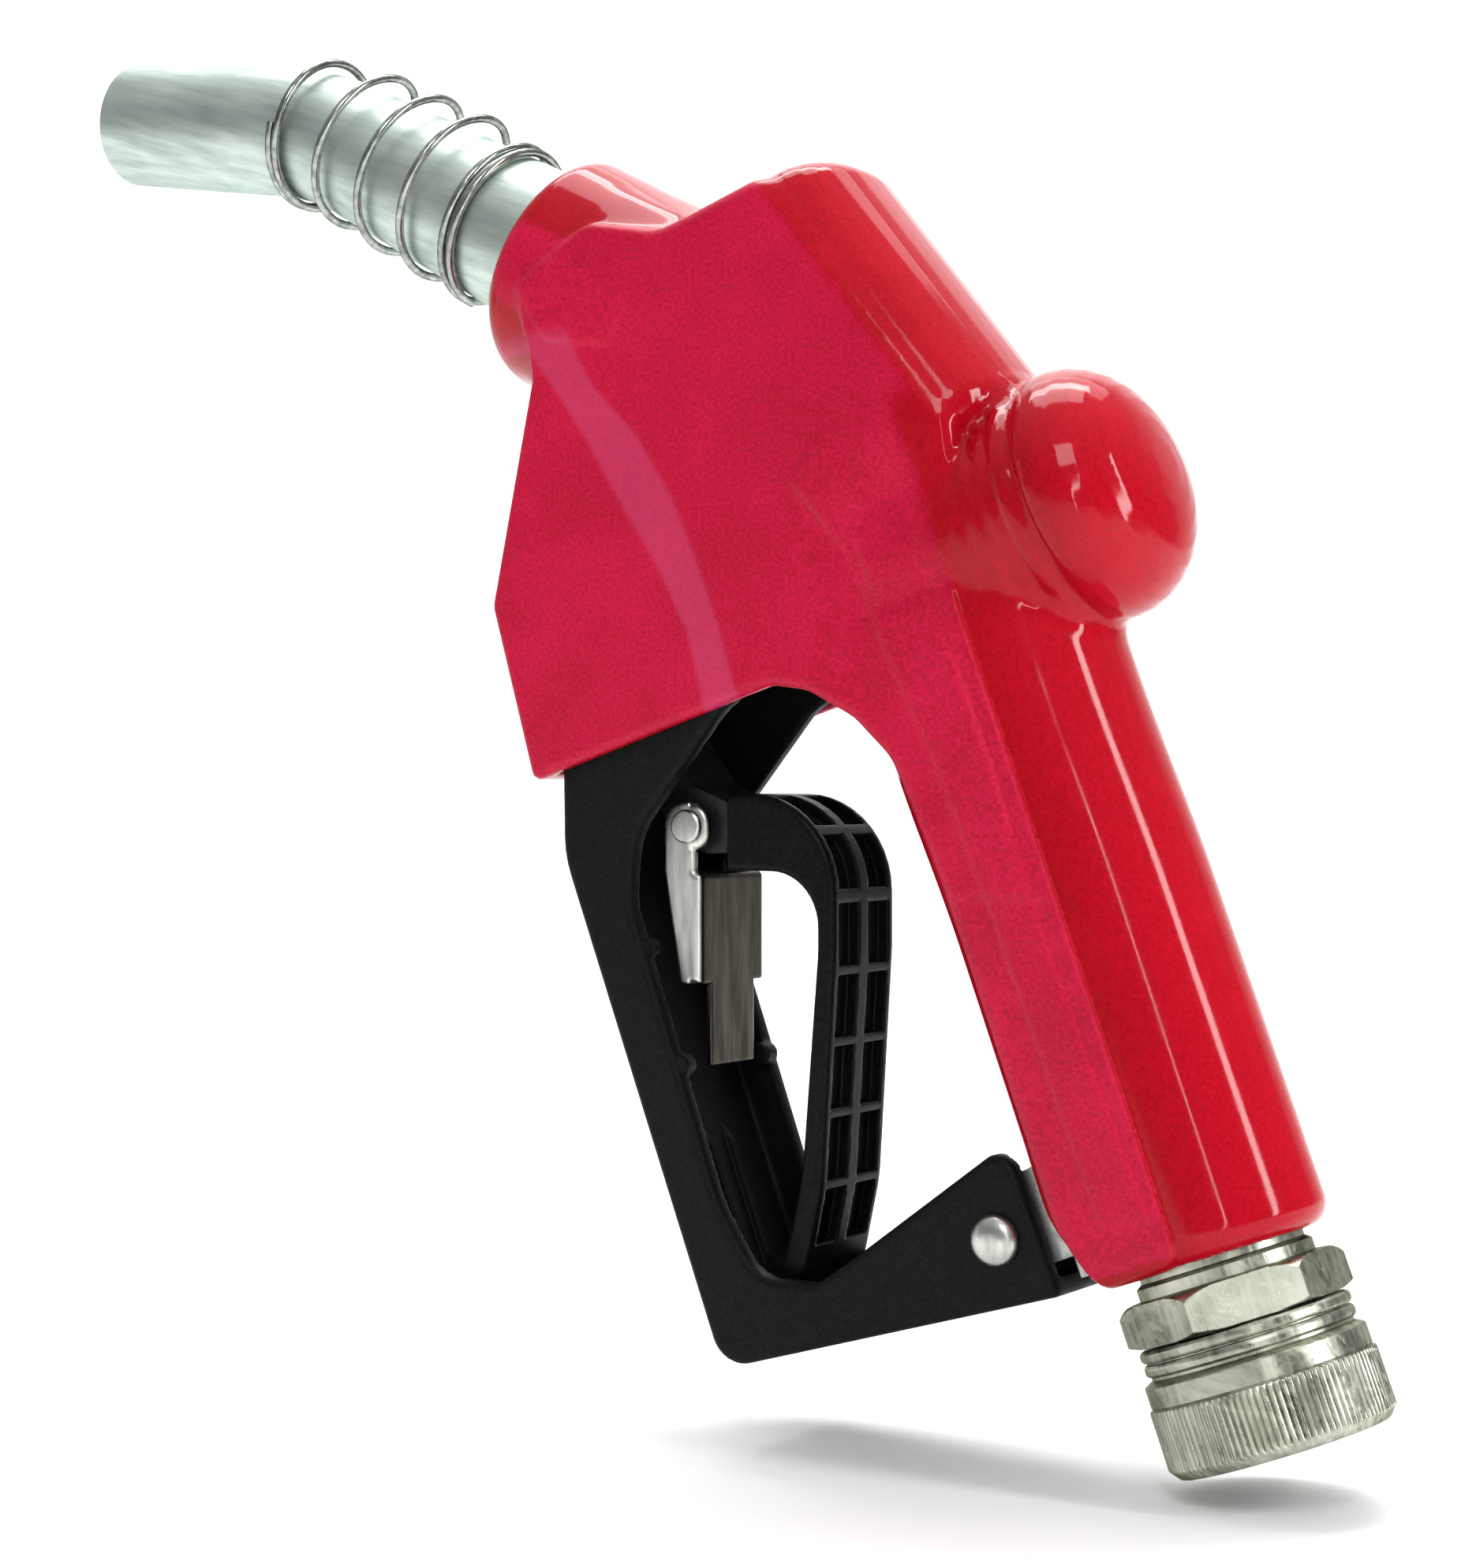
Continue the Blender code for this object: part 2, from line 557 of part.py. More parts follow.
# --- main valve ----------------------------------------------------------------------------------
def make_main_valve():
    """Cap, spring, seat, poppet and stem on the valve axis."""
    valve = grip_xz(0.0, VALVE_B)
    bore = CHAMBER_RADIUS - GAP
    turned("main_valve_cap",
           [(0.0, 32.6), (8.0, 31.4), (13.0, 28.8), (16.6, 24.8), (16.8, CASTING_KNOB_END + GAP),
            (bore, CASTING_KNOB_END + GAP), (bore, 20.4), (12.5, 20.4), (12.5, 17.4), (bore, 17.4),
            (bore, 10.0), (11.0, 10.0), (11.0, 25.5), (0.0, 25.5)],
           valve, VALVE_AXIS, "cast_aluminium")
    turned("cap_o_ring", donut_profile(13.5, 0.7, 18.9), valve, VALVE_AXIS, "rubber",
           INNER_ROUND)
    coil("main_spring", valve, VALVE_AXIS, 8.3, 0.8, -2.2 + GAP, 25.2, 5.5)
    turned("valve_seat", [(bore, SEAT_FACE), (bore, SEAT_BACK), (9.0, SEAT_BACK), (8.2, -11.0),
                          (8.2, SEAT_FACE)],
           valve, VALVE_AXIS, "nickel_brass", INNER_ROUND)
    turned("poppet_seal", ring_profile(3.0, 10.8, SEAT_FACE + GAP, -6.8), valve, VALVE_AXIS,
           "rubber", INNER_ROUND)
    turned("poppet_disc", [(11.2, -2.5), (11.2, -6.5), (3.0, -6.5), (3.0, -2.5)], valve,
           VALVE_AXIS, "brass", INNER_ROUND)
    turned("poppet_nut", ring_profile(3.1, 5.2, -2.2, 1.2), valve, VALVE_AXIS, "zinc_steel", 6)
    turned("main_stem",
           [(0.0, 3.0), (STEM_RADIUS, 3.0), (STEM_RADIUS, SEAT_FACE), (4.0, SEAT_FACE),
            (4.0, -12.0), (STEM_RADIUS, -12.0), (STEM_RADIUS, STEM_TIP + 1.0),
            (1.6, STEM_TIP), (0.0, STEM_TIP)],
           valve, VALVE_AXIS, "zinc_steel", SMALL_ROUND)
    turned("stem_packing", ring_profile(STEM_RADIUS + GAP, GLAND_RADIUS, -43.2, -39.7), valve,
           VALVE_AXIS, "rubber", SMALL_ROUND)
    turned("stem_gland_nut",
           [(GLAND_RADIUS, -43.5), (GLAND_RADIUS, GLAND_WALL - GAP), (6.2, GLAND_WALL - GAP),
            (6.2, -55.5), (STEM_RADIUS + GAP, -55.5), (STEM_RADIUS + GAP, -43.5)],
           valve, VALVE_AXIS, "brass", 18)


# --- automatic shut-off --------------------------------------------------------------------------
def make_shut_off():
    """Diaphragm, latch and trip stem on the trip axis; depths run down from the sloping flat."""
    cap = prism("diaphragm_cap", [trip_xz(4.6, -17.5), trip_xz(9.2, -17.5), trip_xz(9.2, 17.5),
                                  trip_xz(4.6, 17.5)], -16.3, 16.3, "cast_aluminium", 1.0)
    cut(cap, turned("cap_recess", rod_profile(10.5, 6.0, 12.0), TRIP_TOP, TRIP_DOWN))
    sheet = turned("diaphragm", ring_profile(2.0, DIAPHRAGM_RADIUS, 9.5, 10.3), TRIP_TOP, TRIP_DOWN,
                   "rubber", INNER_ROUND)
    for number, (along, across) in enumerate(CAP_SCREWS, 1):
        screw = turned("cap_screw_%d" % number,
                       [(0.0, 18.0), (1.6, 18.0), (1.6, 4.3), (2.8, 4.3), (2.8, 3.1), (0.0, 3.1)],
                       trip_xz(0.0, along), TRIP_DOWN, "zinc_steel", PIN_ROUND)
        hole = turned("screw_hole_%d" % number, rod_profile(1.6 + GAP, 0.0, 12.0),
                      trip_xz(0.0, along), TRIP_DOWN, facets=PIN_ROUND)
        for each in (screw, hole):
            each.location.y = across * MM
        cut(cap, hole)
        cut(sheet, hole)
    coil("diaphragm_spring", TRIP_TOP, TRIP_DOWN, 5.0, 0.45, 6.1, 9.4, 2.0)
    turned("diaphragm_plate", ring_profile(2.0, 7.5, 10.6, 11.8), TRIP_TOP, TRIP_DOWN, "brass",
           SMALL_ROUND)
    turned("latch_pin", [(0.0, 27.0), (0.9, 27.0), (1.5, 24.0), (1.5, 13.2), (3.5, 13.2),
                         (3.5, 12.1), (1.5, 12.1), (1.5, 9.0), (0.0, 9.0)],
           TRIP_TOP, TRIP_DOWN, "zinc_steel", PIN_ROUND)
    turned("trip_bush", ring_profile(3.5, 5.5, 29.0, 51.0), TRIP_TOP, TRIP_DOWN, "brass",
           SMALL_ROUND)
    stem = turned("trip_stem",
                  [(0.0, 74.5), (3.2, 74.5), (3.2, 22.8), (4.6, 22.5), (4.6, 18.0), (1.8, 18.0),
                   (1.8, 28.0), (0.0, 29.0)],
                  TRIP_TOP, TRIP_DOWN, "zinc_steel", SMALL_ROUND)
    join(stem, cross_pin("trip_eye", PIVOT, 5.0, -EYE_HALF, EYE_HALF))
    cut(stem, cross_pin("trip_eye_hole", PIVOT, PIVOT_PIN + GAP, -9.0, 9.0))
    coil("trip_spring", TRIP_TOP, TRIP_DOWN, 4.6, 0.5, 51.3, 68.0, 5.0)


# --- spout ---------------------------------------------------------------------------------------
def spout_path(start, end, steps):
    """World points along the spout's axis; distances run from the tip inward."""
    tangent = SPOUT_BEND_RADIUS * math.tan((SPOUT_ROOT_ANGLE - SPOUT_TIP_ANGLE) / 2.0)
    arc = SPOUT_BEND_RADIUS * (SPOUT_ROOT_ANGLE - SPOUT_TIP_ANGLE)
    bend = spout_xz(-SPOUT_ROOT_LINE)
    tip_in = (math.cos(SPOUT_TIP_ANGLE), -math.sin(SPOUT_TIP_ANGLE))
    bend_start = (bend[0] - tip_in[0] * tangent, bend[1] - tip_in[1] * tangent)
    straight = SPOUT_TIP_LINE - tangent
    points = []
    for step in range(steps + 1):
        distance = start + (end - start) * step / steps
        if distance <= straight:
            back = distance - straight
            x, z = bend_start[0] + tip_in[0] * back, bend_start[1] + tip_in[1] * back
            angle = SPOUT_TIP_ANGLE
        elif distance <= straight + arc:
            angle = SPOUT_TIP_ANGLE + (distance - straight) / SPOUT_BEND_RADIUS
            x = bend_start[0] + SPOUT_BEND_RADIUS * (math.sin(angle) - math.sin(SPOUT_TIP_ANGLE))
            z = bend_start[1] + SPOUT_BEND_RADIUS * (math.cos(angle) - math.cos(SPOUT_TIP_ANGLE))
        else:
            x, z = spout_xz(tangent - SPOUT_ROOT_LINE + distance - straight - arc)
            angle = SPOUT_ROOT_ANGLE
        points.append((x, z, angle))
    return points


def spout_length():
    """Distance from the tip to the root along the axis."""
    tangent = SPOUT_BEND_RADIUS * math.tan((SPOUT_ROOT_ANGLE - SPOUT_TIP_ANGLE) / 2.0)
    arc = SPOUT_BEND_RADIUS * (SPOUT_ROOT_ANGLE - SPOUT_TIP_ANGLE)
    return SPOUT_TIP_LINE + SPOUT_ROOT_LINE - 2.0 * tangent + arc


def spout_radius(distance):
    """The spout's outer radius at a distance from the tip, outside the body."""
    bend_end = 60.0
    if distance < bend_end:
        return SPOUT_TIP_RADIUS + (SPOUT_BEND_OD_RADIUS - SPOUT_TIP_RADIUS) * distance / bend_end
    share = min((distance - bend_end) / (spout_length() - bend_end), 1.0)
    return SPOUT_BEND_OD_RADIUS + (SPOUT_ROOT_RADIUS - SPOUT_BEND_OD_RADIUS) * share


def make_spout():
    """Spout, its anchor spring, vent tube and the check valve behind it."""
    length = spout_length()
    shoulder = length + BOOT_MOUTH + COVER_WALL - 0.2
    outside = spout_path(0.0, shoulder, SPOUT_STEPS)
    inside = spout_path(shoulder + GAP, length + SPOUT_INSERT_END, 2)
    radii = [spout_radius(shoulder * step / SPOUT_STEPS) for step in range(SPOUT_STEPS + 1)]
    radii += [SPOUT_INSERT_RADIUS] * 3
    points = [(x, 0.0, z) for x, z, _ in outside + inside]
    spout = as_mesh(swept("spout", points, radii, TUBE_SIDES), "aluminium_tube")
    bore_path = spout_path(-3.0, length + SPOUT_INSERT_END + 3.0, SPOUT_STEPS)
    bore_radii = []
    for step in range(SPOUT_STEPS + 1):
        distance = -3.0 + (length + SPOUT_INSERT_END + 6.0) * step / SPOUT_STEPS
        inner = spout_radius(max(distance, 0.0)) - SPOUT_WALL
        bore_radii.append(min(inner, 11.3))
    bore = as_mesh(swept("spout_bore", [(x, 0.0, z) for x, z, _ in bore_path], bore_radii,
                         TUBE_SIDES))
    groove = turned("spout_groove", ring_profile(11.9, 15.0, 20.0, 23.2), SPOUT_ROOT, SPOUT_IN)
    port = spout_path(SENSE_DISTANCE, SENSE_DISTANCE + 1.0, 1)[0]
    down = (-math.sin(port[2]), -math.cos(port[2]))
    port_hole = turned("spout_port", rod_profile(SENSE_RADIUS + GAP, 6.0, 14.0), port[:2], down,
                       facets=PIN_ROUND)
    cut(spout, bore, groove, port_hole)
    turned("sensing_nipple", ring_profile(0.9, SENSE_RADIUS, 9.6, 11.9), port[:2], down, "brass", PIN_ROUND)
    turned("spout_o_ring", donut_profile(12.65, 0.5, 21.6), SPOUT_ROOT, SPOUT_IN, "rubber",
           INNER_ROUND)
    vent_points = []
    for x, z, angle in spout_path(SENSE_DISTANCE - 4.0, length + SPOUT_INSERT_END - 1.0, SPOUT_STEPS):
        vent_points.append((x - math.sin(angle) * VENT_DROP, 0.0, z - math.cos(angle) * VENT_DROP))
    swept("vent_tube", vent_points, [SENSE_RADIUS] * len(vent_points), 8, "aluminium_tube")

    spring_points = []
    loose = ANCHOR_TURNS * ANCHOR_STEPS
    close = ANCHOR_CLOSE_TURNS * ANCHOR_STEPS
    distances = [ANCHOR_START + ANCHOR_PITCH * step / ANCHOR_STEPS for step in range(loose + 1)]
    distances += [distances[-1] + 2.0 * step / ANCHOR_STEPS for step in range(1, close + 1)]
    for step, distance in enumerate(distances):
        x, z, angle = spout_path(distance, distance + 1.0, 1)[0]
        turn = 2.0 * math.pi * step / ANCHOR_STEPS
        reach = spout_radius(distance) + ANCHOR_WIRE + 0.5
        up = reach * math.cos(turn)
        spring_points.append((x + math.sin(angle) * up, reach * math.sin(turn),
                              z + math.cos(angle) * up))
    swept("anchor_spring", spring_points, [ANCHOR_WIRE] * len(spring_points), 6, "spring_steel")

    guide = turned("check_guide", ring_profile(2.2 + GAP, SPOUT_BORE - GAP, 31.0, 33.2),
                   SPOUT_ROOT, SPOUT_IN, "brass", INNER_ROUND)
    ports = []
    for number in range(4):
        turn = math.radians(45.0 + 90.0 * number)
        hole = turned("guide_port_%d" % number, rod_profile(3.2, 28.0, 36.0),
                      spout_xz(0.0, 8.2 * math.cos(turn)), SPOUT_IN, facets=PIN_ROUND)
        hole.location.y = 8.2 * math.sin(turn) * MM
        ports.append(hole)
    cut(guide, *ports)
    coil("check_spring", SPOUT_ROOT, SPOUT_IN, 4.0, 0.45, 33.5, 42.4, 4.0)
    turned("check_poppet", [(0.0, 45.6), (7.2, 45.6), (9.8, 44.6), (9.8, 42.7), (2.2, 42.7),
                            (2.2, 29.5), (0.0, 29.5)],
           SPOUT_ROOT, SPOUT_IN, "brass", INNER_ROUND)
    turned("check_seat", [(SPOUT_BORE - GAP, 50.0), (SPOUT_BORE - GAP, 45.9), (7.5, 45.9),
                          (7.5, 50.0)],
           SPOUT_ROOT, SPOUT_IN, "brass", INNER_ROUND)
    turned("spout_set_screw", rod_profile(SCREW_RADIUS, -16.0, -13.4), spout_xz(SET_SCREW_DEPTH),
           SPOUT_UP, "zinc_steel", PIN_ROUND)


# --- lever, clip and guard -----------------------------------------------------------------------
def make_lever():
    """The steel lever arm, its moulded grip, its pins and the hold-open clip."""
    nose = grip_xz(STEM_TIP - GAP - NOSE_RADIUS, VALVE_B)
    arm_outline = rounded([
        (PIVOT[0] - 5.5, PIVOT[1] + 3.0, 3.0), (PIVOT[0] + 1.5, PIVOT[1] + 6.0, 4.0),
        (-119.5, 132.0, 2.0), (-115.5, 115.5, 2.0), (-107.5, 104.5, 3.0), (-98.5, 101.0, 1.0),
        (-88.0, 97.8, 1.0), (-88.0, 93.6, 1.0), (-104.0, 92.6, 3.0), (-111.5, 94.5, 4.0),
        (-121.0, 117.0, 4.0), (PIVOT[0] - 5.0, PIVOT[1] - 5.0, 4.0)][::-1])
    arm = prism("lever_arm", arm_outline, -ARM_HALF, ARM_HALF, "zinc_steel", pivot=PIVOT)
    join(arm, cross_pin("arm_nose", nose, NOSE_RADIUS, -4.0, 4.0, facets=SMALL_ROUND))
    cut(arm, cross_pin("arm_fork", PIVOT, 8.5, -EYE_HALF - GAP, EYE_HALF + GAP, facets=SMALL_ROUND),
        cross_pin("arm_pivot_hole", PIVOT, PIVOT_PIN + GAP, -20.0, 20.0),
        cross_pin("arm_clip_hole", CLIP_PIN, CLIP_PIN_RADIUS + GAP, -20.0, 20.0))
    cross_pin("lever_pin", PIVOT, PIVOT_PIN, -9.0, 9.0, "zinc_steel")

    grip = rounded([
        (-98.6, 103.1, 0.5), (-90.0, 103.1, 12.0), (-77.0, 95.0, 12.0), (-77.0, 76.0, 20.0),
        (-80.2, 36.0, 20.0), (-83.0, 19.0, 6.0), (-92.0, 17.5, 2.0), (-93.0, 20.5, 1.5),
        (-86.6, 24.5, 4.0), (-83.4, 38.0, 20.0), (-80.3, 76.0, 20.0), (-80.3, 89.8, 9.5),
        (-98.6, 89.8, 0.5)][::-1])
    loop = prism("lever_grip", grip, -LOOP_HALF, LOOP_HALF, "gloss_black", 0.8, PIVOT)
    cut(loop, prism("grip_socket", inset_outline(arm_outline, -GAP), -ARM_HALF - GAP,
                    ARM_HALF + GAP))

    plate_outline = rounded([
        (CLIP_PIN[0] + 4.2, CLIP_PIN[1] + 4.2, 4.0), (CLIP_PIN[0] - 4.8, CLIP_PIN[1] + 4.2, 4.0),
        (-111.3, 90.1, 3.0), (-107.9, 69.9, 0.5), (CLIP_WEB, 69.9, 0.0), (CLIP_WEB, 88.9, 0.0),
        (-105.0, 89.6, 0.5), (-105.0, 93.2, 0.5), (CLIP_PIN[0] + 4.2, CLIP_PIN[1] - 4.2, 3.0)])
    clip = prism("hold_open_clip", plate_outline, -CLIP_HALF, CLIP_HALF, "zinc_steel",
                 pivot=CLIP_PIN)
    web_inside = CLIP_WEB - CLIP_SHEET
    hollow = prism("clip_hollow", [(-125.0, 60.0), (web_inside, 60.0), (web_inside, 90.4),
                                   (-95.0, 90.4), (-95.0, 110.0), (-125.0, 110.0)],
                   CLIP_SHEET - CLIP_HALF, CLIP_HALF - CLIP_SHEET)
    tongue = prism("clip_tongue", [(web_inside, 55.5), (CLIP_WEB, 55.5), (CLIP_WEB, 72.0),
                                   (web_inside, 72.0)], -TONGUE_HALF, TONGUE_HALF)
    cut(clip, hollow, cross_pin("clip_eye", CLIP_PIN, CLIP_PIN_RADIUS + GAP, -20.0, 20.0))
    join(clip, tongue)
    turned_across("clip_pin", [(0.0, 11.6), (CLIP_PIN_RADIUS, 11.6), (CLIP_PIN_RADIUS, -10.8),
                               (2.9, -10.8), (2.6, -11.6), (0.0, -11.6)],
                  CLIP_PIN, "zinc_steel", PIN_ROUND)


CHEEK_OUTLINE = rounded([
    (-129.3, 112.0, 2.0), (-129.0, 92.0, 20.0), (-95.7, 4.7, 6.0), (-31.8, 23.1, 1.0),
    (-39.6, 44.0, 3.0), (-43.5, 46.3, 3.0), (-68.5, 27.6, 8.0), (-77.0, 21.0, 6.0),
    (-88.6, 21.0, 8.0), (-96.4, 33.1, 20.0), (-108.4, 66.5, 30.0), (-114.6, 84.0, 12.0),
    (-113.6, 96.0, 12.0), (-95.9, 117.3, 6.0), (-87.5, 123.0, 2.0), (-88.5, 134.5, 2.0),
    (-100.0, 134.5, 2.0)][::-1])
CHANNEL_OUTLINE = [(-140.0, 120.0), (-140.0, 114.0), (-126.4, 106.0), (-126.4, 92.8),
                   (-94.2, 8.2), (-20.0, 29.4), (-20.0, 60.0), (-60.0, 60.0), (-60.0, 140.0),
                   (-120.0, 140.0)]


def make_guard():
    """The moulded lever guard with its rivet, screws and stop pegs."""
    guard = prism("lever_guard", CHEEK_OUTLINE, -GUARD_HALF, GUARD_HALF, "black_plastic", 0.6)
    inner = GUARD_HALF - GUARD_WALL
    cut(guard, prism("guard_channel", CHANNEL_OUTLINE, -inner, inner),
        cross_pin("guard_rivet_hole", RIVET, RIVET_RADIUS + GAP, -30.0, 30.0),
        cross_pin("guard_screw_hole", GUARD_SCREW, SCREW_RADIUS + GAP, -30.0, 30.0))
    for number, peg_xz in enumerate([(-113.0, 76.0), (-105.5, 56.0)], 1):
        join(guard, cross_pin("guard_peg_near_%d" % number, peg_xz, PEG_RADIUS, -inner - 1.0,
                              -PEG_REACH))
        join(guard, cross_pin("guard_peg_far_%d" % number, peg_xz, PEG_RADIUS, PEG_REACH,
                              inner + 1.0))
    turned_across("guard_rivet", [(0.0, 18.3), (2.2, 18.1), (4.2, 16.8), (RIVET_RADIUS, 16.8),
                                  (RIVET_RADIUS, -16.8), (4.25, -16.8), (3.8, -17.8),
                                  (2.2, -18.8), (0.0, -19.1)], RIVET, "zinc_steel", SMALL_ROUND)
    cross_pin("guard_screw_near", GUARD_SCREW, SCREW_RADIUS, -16.4, -8.0, "zinc_steel")
    cross_pin("guard_screw_far", GUARD_SCREW, SCREW_RADIUS, 8.0, 16.4, "zinc_steel")


# --- hose swivel ---------------------------------------------------------------------------------
def make_swivel():
    """The hexagon stud screwed into the grip and the collar that turns on it."""
    origin = (0.0, 0.0)
    stud = turned("swivel_stud",
                  [(THREAD_RADIUS, 46.0), (THREAD_RADIUS, 34.3), (14.4, 34.3), (14.4, 32.4),
                   (13.6, 32.0), (13.6, 30.6), (14.6, 30.2), (14.6, HEX_HIGH - 0.2),
                   (14.6, HEX_LOW + 1.0), (11.2, HEX_LOW), (11.2, 17.2), (9.2, 17.2), (9.2, 14.2),
                   (11.2, 14.2), (11.2, 11.4), (9.9, 11.4), (9.9, 9.3), (11.2, 9.3), (11.2, 8.2),
                   (STUD_BORE, 8.2), (STUD_BORE, 46.0)], origin, GRIP_UP, "nickel_brass")
    hexagon = turned("stud_hexagon", rod_profile(HEX_CORNER, HEX_LOW, HEX_HIGH), origin, GRIP_UP,
                     facets=6)
    quarter_turn = Matrix.Rotation(math.radians(90.0), 4, "Z")
    hexagon.matrix_world = Matrix.Rotation(-GRIP_LEAN, 4, "Y") @ quarter_turn
    chamfer = turned("hexagon_chamfer",
                     [(15.6, HEX_HIGH + 0.1), (HEX_CORNER + 1.0, HEX_HIGH - 1.9),
                      (HEX_CORNER + 1.0, HEX_HIGH + 4.0), (15.6, HEX_HIGH + 4.0)][::-1],
                     origin, GRIP_UP)
    hexagon_bore = turned("hexagon_bore", rod_profile(9.0, HEX_LOW - 1.0, HEX_HIGH + 1.0), origin,
                          GRIP_UP)
    cut(hexagon, chamfer, hexagon_bore)
    join(stud, hexagon)
    turned("swivel_collar",
           [(16.9, 20.7), (17.4, 20.2), (17.4, 19.0), (16.6, 18.6), (17.4, 18.2), (17.4, 17.0),
            (16.6, 16.6), (17.4, 16.2), (17.4, 15.2), (18.25, 15.0), (18.25, 11.8), (NUT_RADIUS, 11.4),
            (NUT_RADIUS, 1.3), (17.7, 0.0), (13.5, 0.0), (13.5, 7.9), (12.8, 8.0), (12.8, 11.6),
            (11.6, 11.7), (11.6, 20.7)], origin, GRIP_UP, "nickel_brass", 32)
    turned("swivel_retaining_ring", ring_profile(10.2, 12.4, 9.6, 11.1), origin, GRIP_UP,
           "spring_steel", INNER_ROUND)
    turned("swivel_o_ring", donut_profile(10.35, 0.9, 15.7), origin, GRIP_UP, "rubber",
           INNER_ROUND)
    turned("hose_washer", ring_profile(9.0, 13.2, 5.6, 7.6), origin, GRIP_UP, "rubber",
           INNER_ROUND)
    turned("inlet_strainer",
           [(7.6, 45.0), (7.6, 24.0), (6.8, 24.0), (6.8, 45.0)], origin, GRIP_UP, "zinc_steel",
           SMALL_ROUND)


make_casting()
make_cover()
make_main_valve()
make_shut_off()
make_spout()
make_lever()
make_guard()
make_swivel()
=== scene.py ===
"""The looks of the automatic fuel nozzle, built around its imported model.

Shapes are worked out in millimetres in the model's own frame: +Z up, XZ the plane of symmetry, the
origin at the hose inlet. They become metres where meshes are made. Moulded and pressed pieces are
distance fields, blended where the real ones have fillets, then skinned. Turned pieces are rings
swept along an axis or along the spout's path.
"""
import json
import math

import bpy
import numpy as np
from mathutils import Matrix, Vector


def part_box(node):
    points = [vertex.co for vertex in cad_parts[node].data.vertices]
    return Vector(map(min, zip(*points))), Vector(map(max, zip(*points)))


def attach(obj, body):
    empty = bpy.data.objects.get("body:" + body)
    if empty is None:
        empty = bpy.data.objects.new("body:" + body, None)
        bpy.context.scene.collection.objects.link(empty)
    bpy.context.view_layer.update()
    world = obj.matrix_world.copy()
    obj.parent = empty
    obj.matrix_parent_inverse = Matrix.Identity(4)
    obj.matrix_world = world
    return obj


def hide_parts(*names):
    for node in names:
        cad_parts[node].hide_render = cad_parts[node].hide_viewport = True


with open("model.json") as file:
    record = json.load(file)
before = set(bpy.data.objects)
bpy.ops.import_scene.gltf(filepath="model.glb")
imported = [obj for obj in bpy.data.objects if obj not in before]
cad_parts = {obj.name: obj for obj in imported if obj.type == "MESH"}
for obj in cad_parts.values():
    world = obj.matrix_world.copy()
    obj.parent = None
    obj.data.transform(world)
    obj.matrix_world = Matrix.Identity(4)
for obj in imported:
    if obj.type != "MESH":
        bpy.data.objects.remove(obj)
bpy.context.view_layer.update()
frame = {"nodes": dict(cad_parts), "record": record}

MM = 0.001
COARSER = 1.0

# --- dimensions shared with the model -------------------------------------------------------------
GRIP_LEAN = math.radians(20.5)
VALVE_B = 154.5
BODY_HALF = 20.0
SPOUT_ROOT = (-151.3, 206.9)
SPOUT_ROOT_ANGLE = math.radians(27.6)
SPOUT_TIP_ANGLE = math.radians(8.9)
SPOUT_TIP_LINE = 49.5
SPOUT_ROOT_LINE = 51.9
SPOUT_BEND_RADIUS = 60.0
TRIP_ANGLE = math.radians(39.0)
TRIP_TOP = (-67.3, 186.3)
CLIP_PIN = (-106.4, 97.4)
RIVET = (-42.9, 31.3)
WALL = 2.8

GRIP_UP = (-math.sin(GRIP_LEAN), math.cos(GRIP_LEAN))
VALVE_AXIS = (math.cos(GRIP_LEAN), math.sin(GRIP_LEAN))
SPOUT_IN = (math.cos(SPOUT_ROOT_ANGLE), -math.sin(SPOUT_ROOT_ANGLE))
RIDGE = (math.sin(TRIP_ANGLE), -math.cos(TRIP_ANGLE))


def grip_xz(a, b):
    """World x and z at a across the grip and b up it."""
    return (a * VALVE_AXIS[0] + b * GRIP_UP[0], a * VALVE_AXIS[1] + b * GRIP_UP[1])


def ridge_xz(depth, along):
    """World x and z at a depth under the sloping crown and along it."""
    down = (-math.cos(TRIP_ANGLE), -math.sin(TRIP_ANGLE))
    return (TRIP_TOP[0] + down[0] * depth + RIDGE[0] * along,
            TRIP_TOP[1] + down[1] * depth + RIDGE[1] * along)


# --- outlines -------------------------------------------------------------------------------------
def rounded(corners, degrees=8.0):
    """A closed outline from (x, y, radius) corners, each rounded by an arc of its radius."""
    outline = []
    count = len(corners)
    for index, (x, y, radius) in enumerate(corners):
        corner = Vector((x, y))
        if radius == 0.0:
            outline.append((x, y))
            continue
        before = (Vector(corners[index - 1][:2]) - corner).normalized()
        after = (Vector(corners[(index + 1) % count][:2]) - corner).normalized()
        half_angle = before.angle(after) / 2.0
        reach = radius / math.tan(half_angle)
        centre = corner + (before + after).normalized() * (radius / math.sin(half_angle))
        first = (corner + before * reach - centre).normalized()
        last = (corner + after * reach - centre).normalized()
        steps = max(1, round(math.degrees(first.angle(last)) / degrees))
        for step in range(steps + 1):
            point = centre + first.slerp(last, step / steps).normalized() * radius
            outline.append(tuple(point))
    return outline


def mirrored(profile):
    """A lathe profile of (radius, height) closed through its mirror image."""
    return profile + [(-radius, height) for radius, height in reversed(profile)]


# --- distance fields ------------------------------------------------------------------------------
def smooth(low, high, value):
    """0 below low, 1 above high, and a smooth step between."""
    share = np.clip((value - low) / (high - low), 0.0, 1.0)
    return share * share * (3.0 - 2.0 * share)


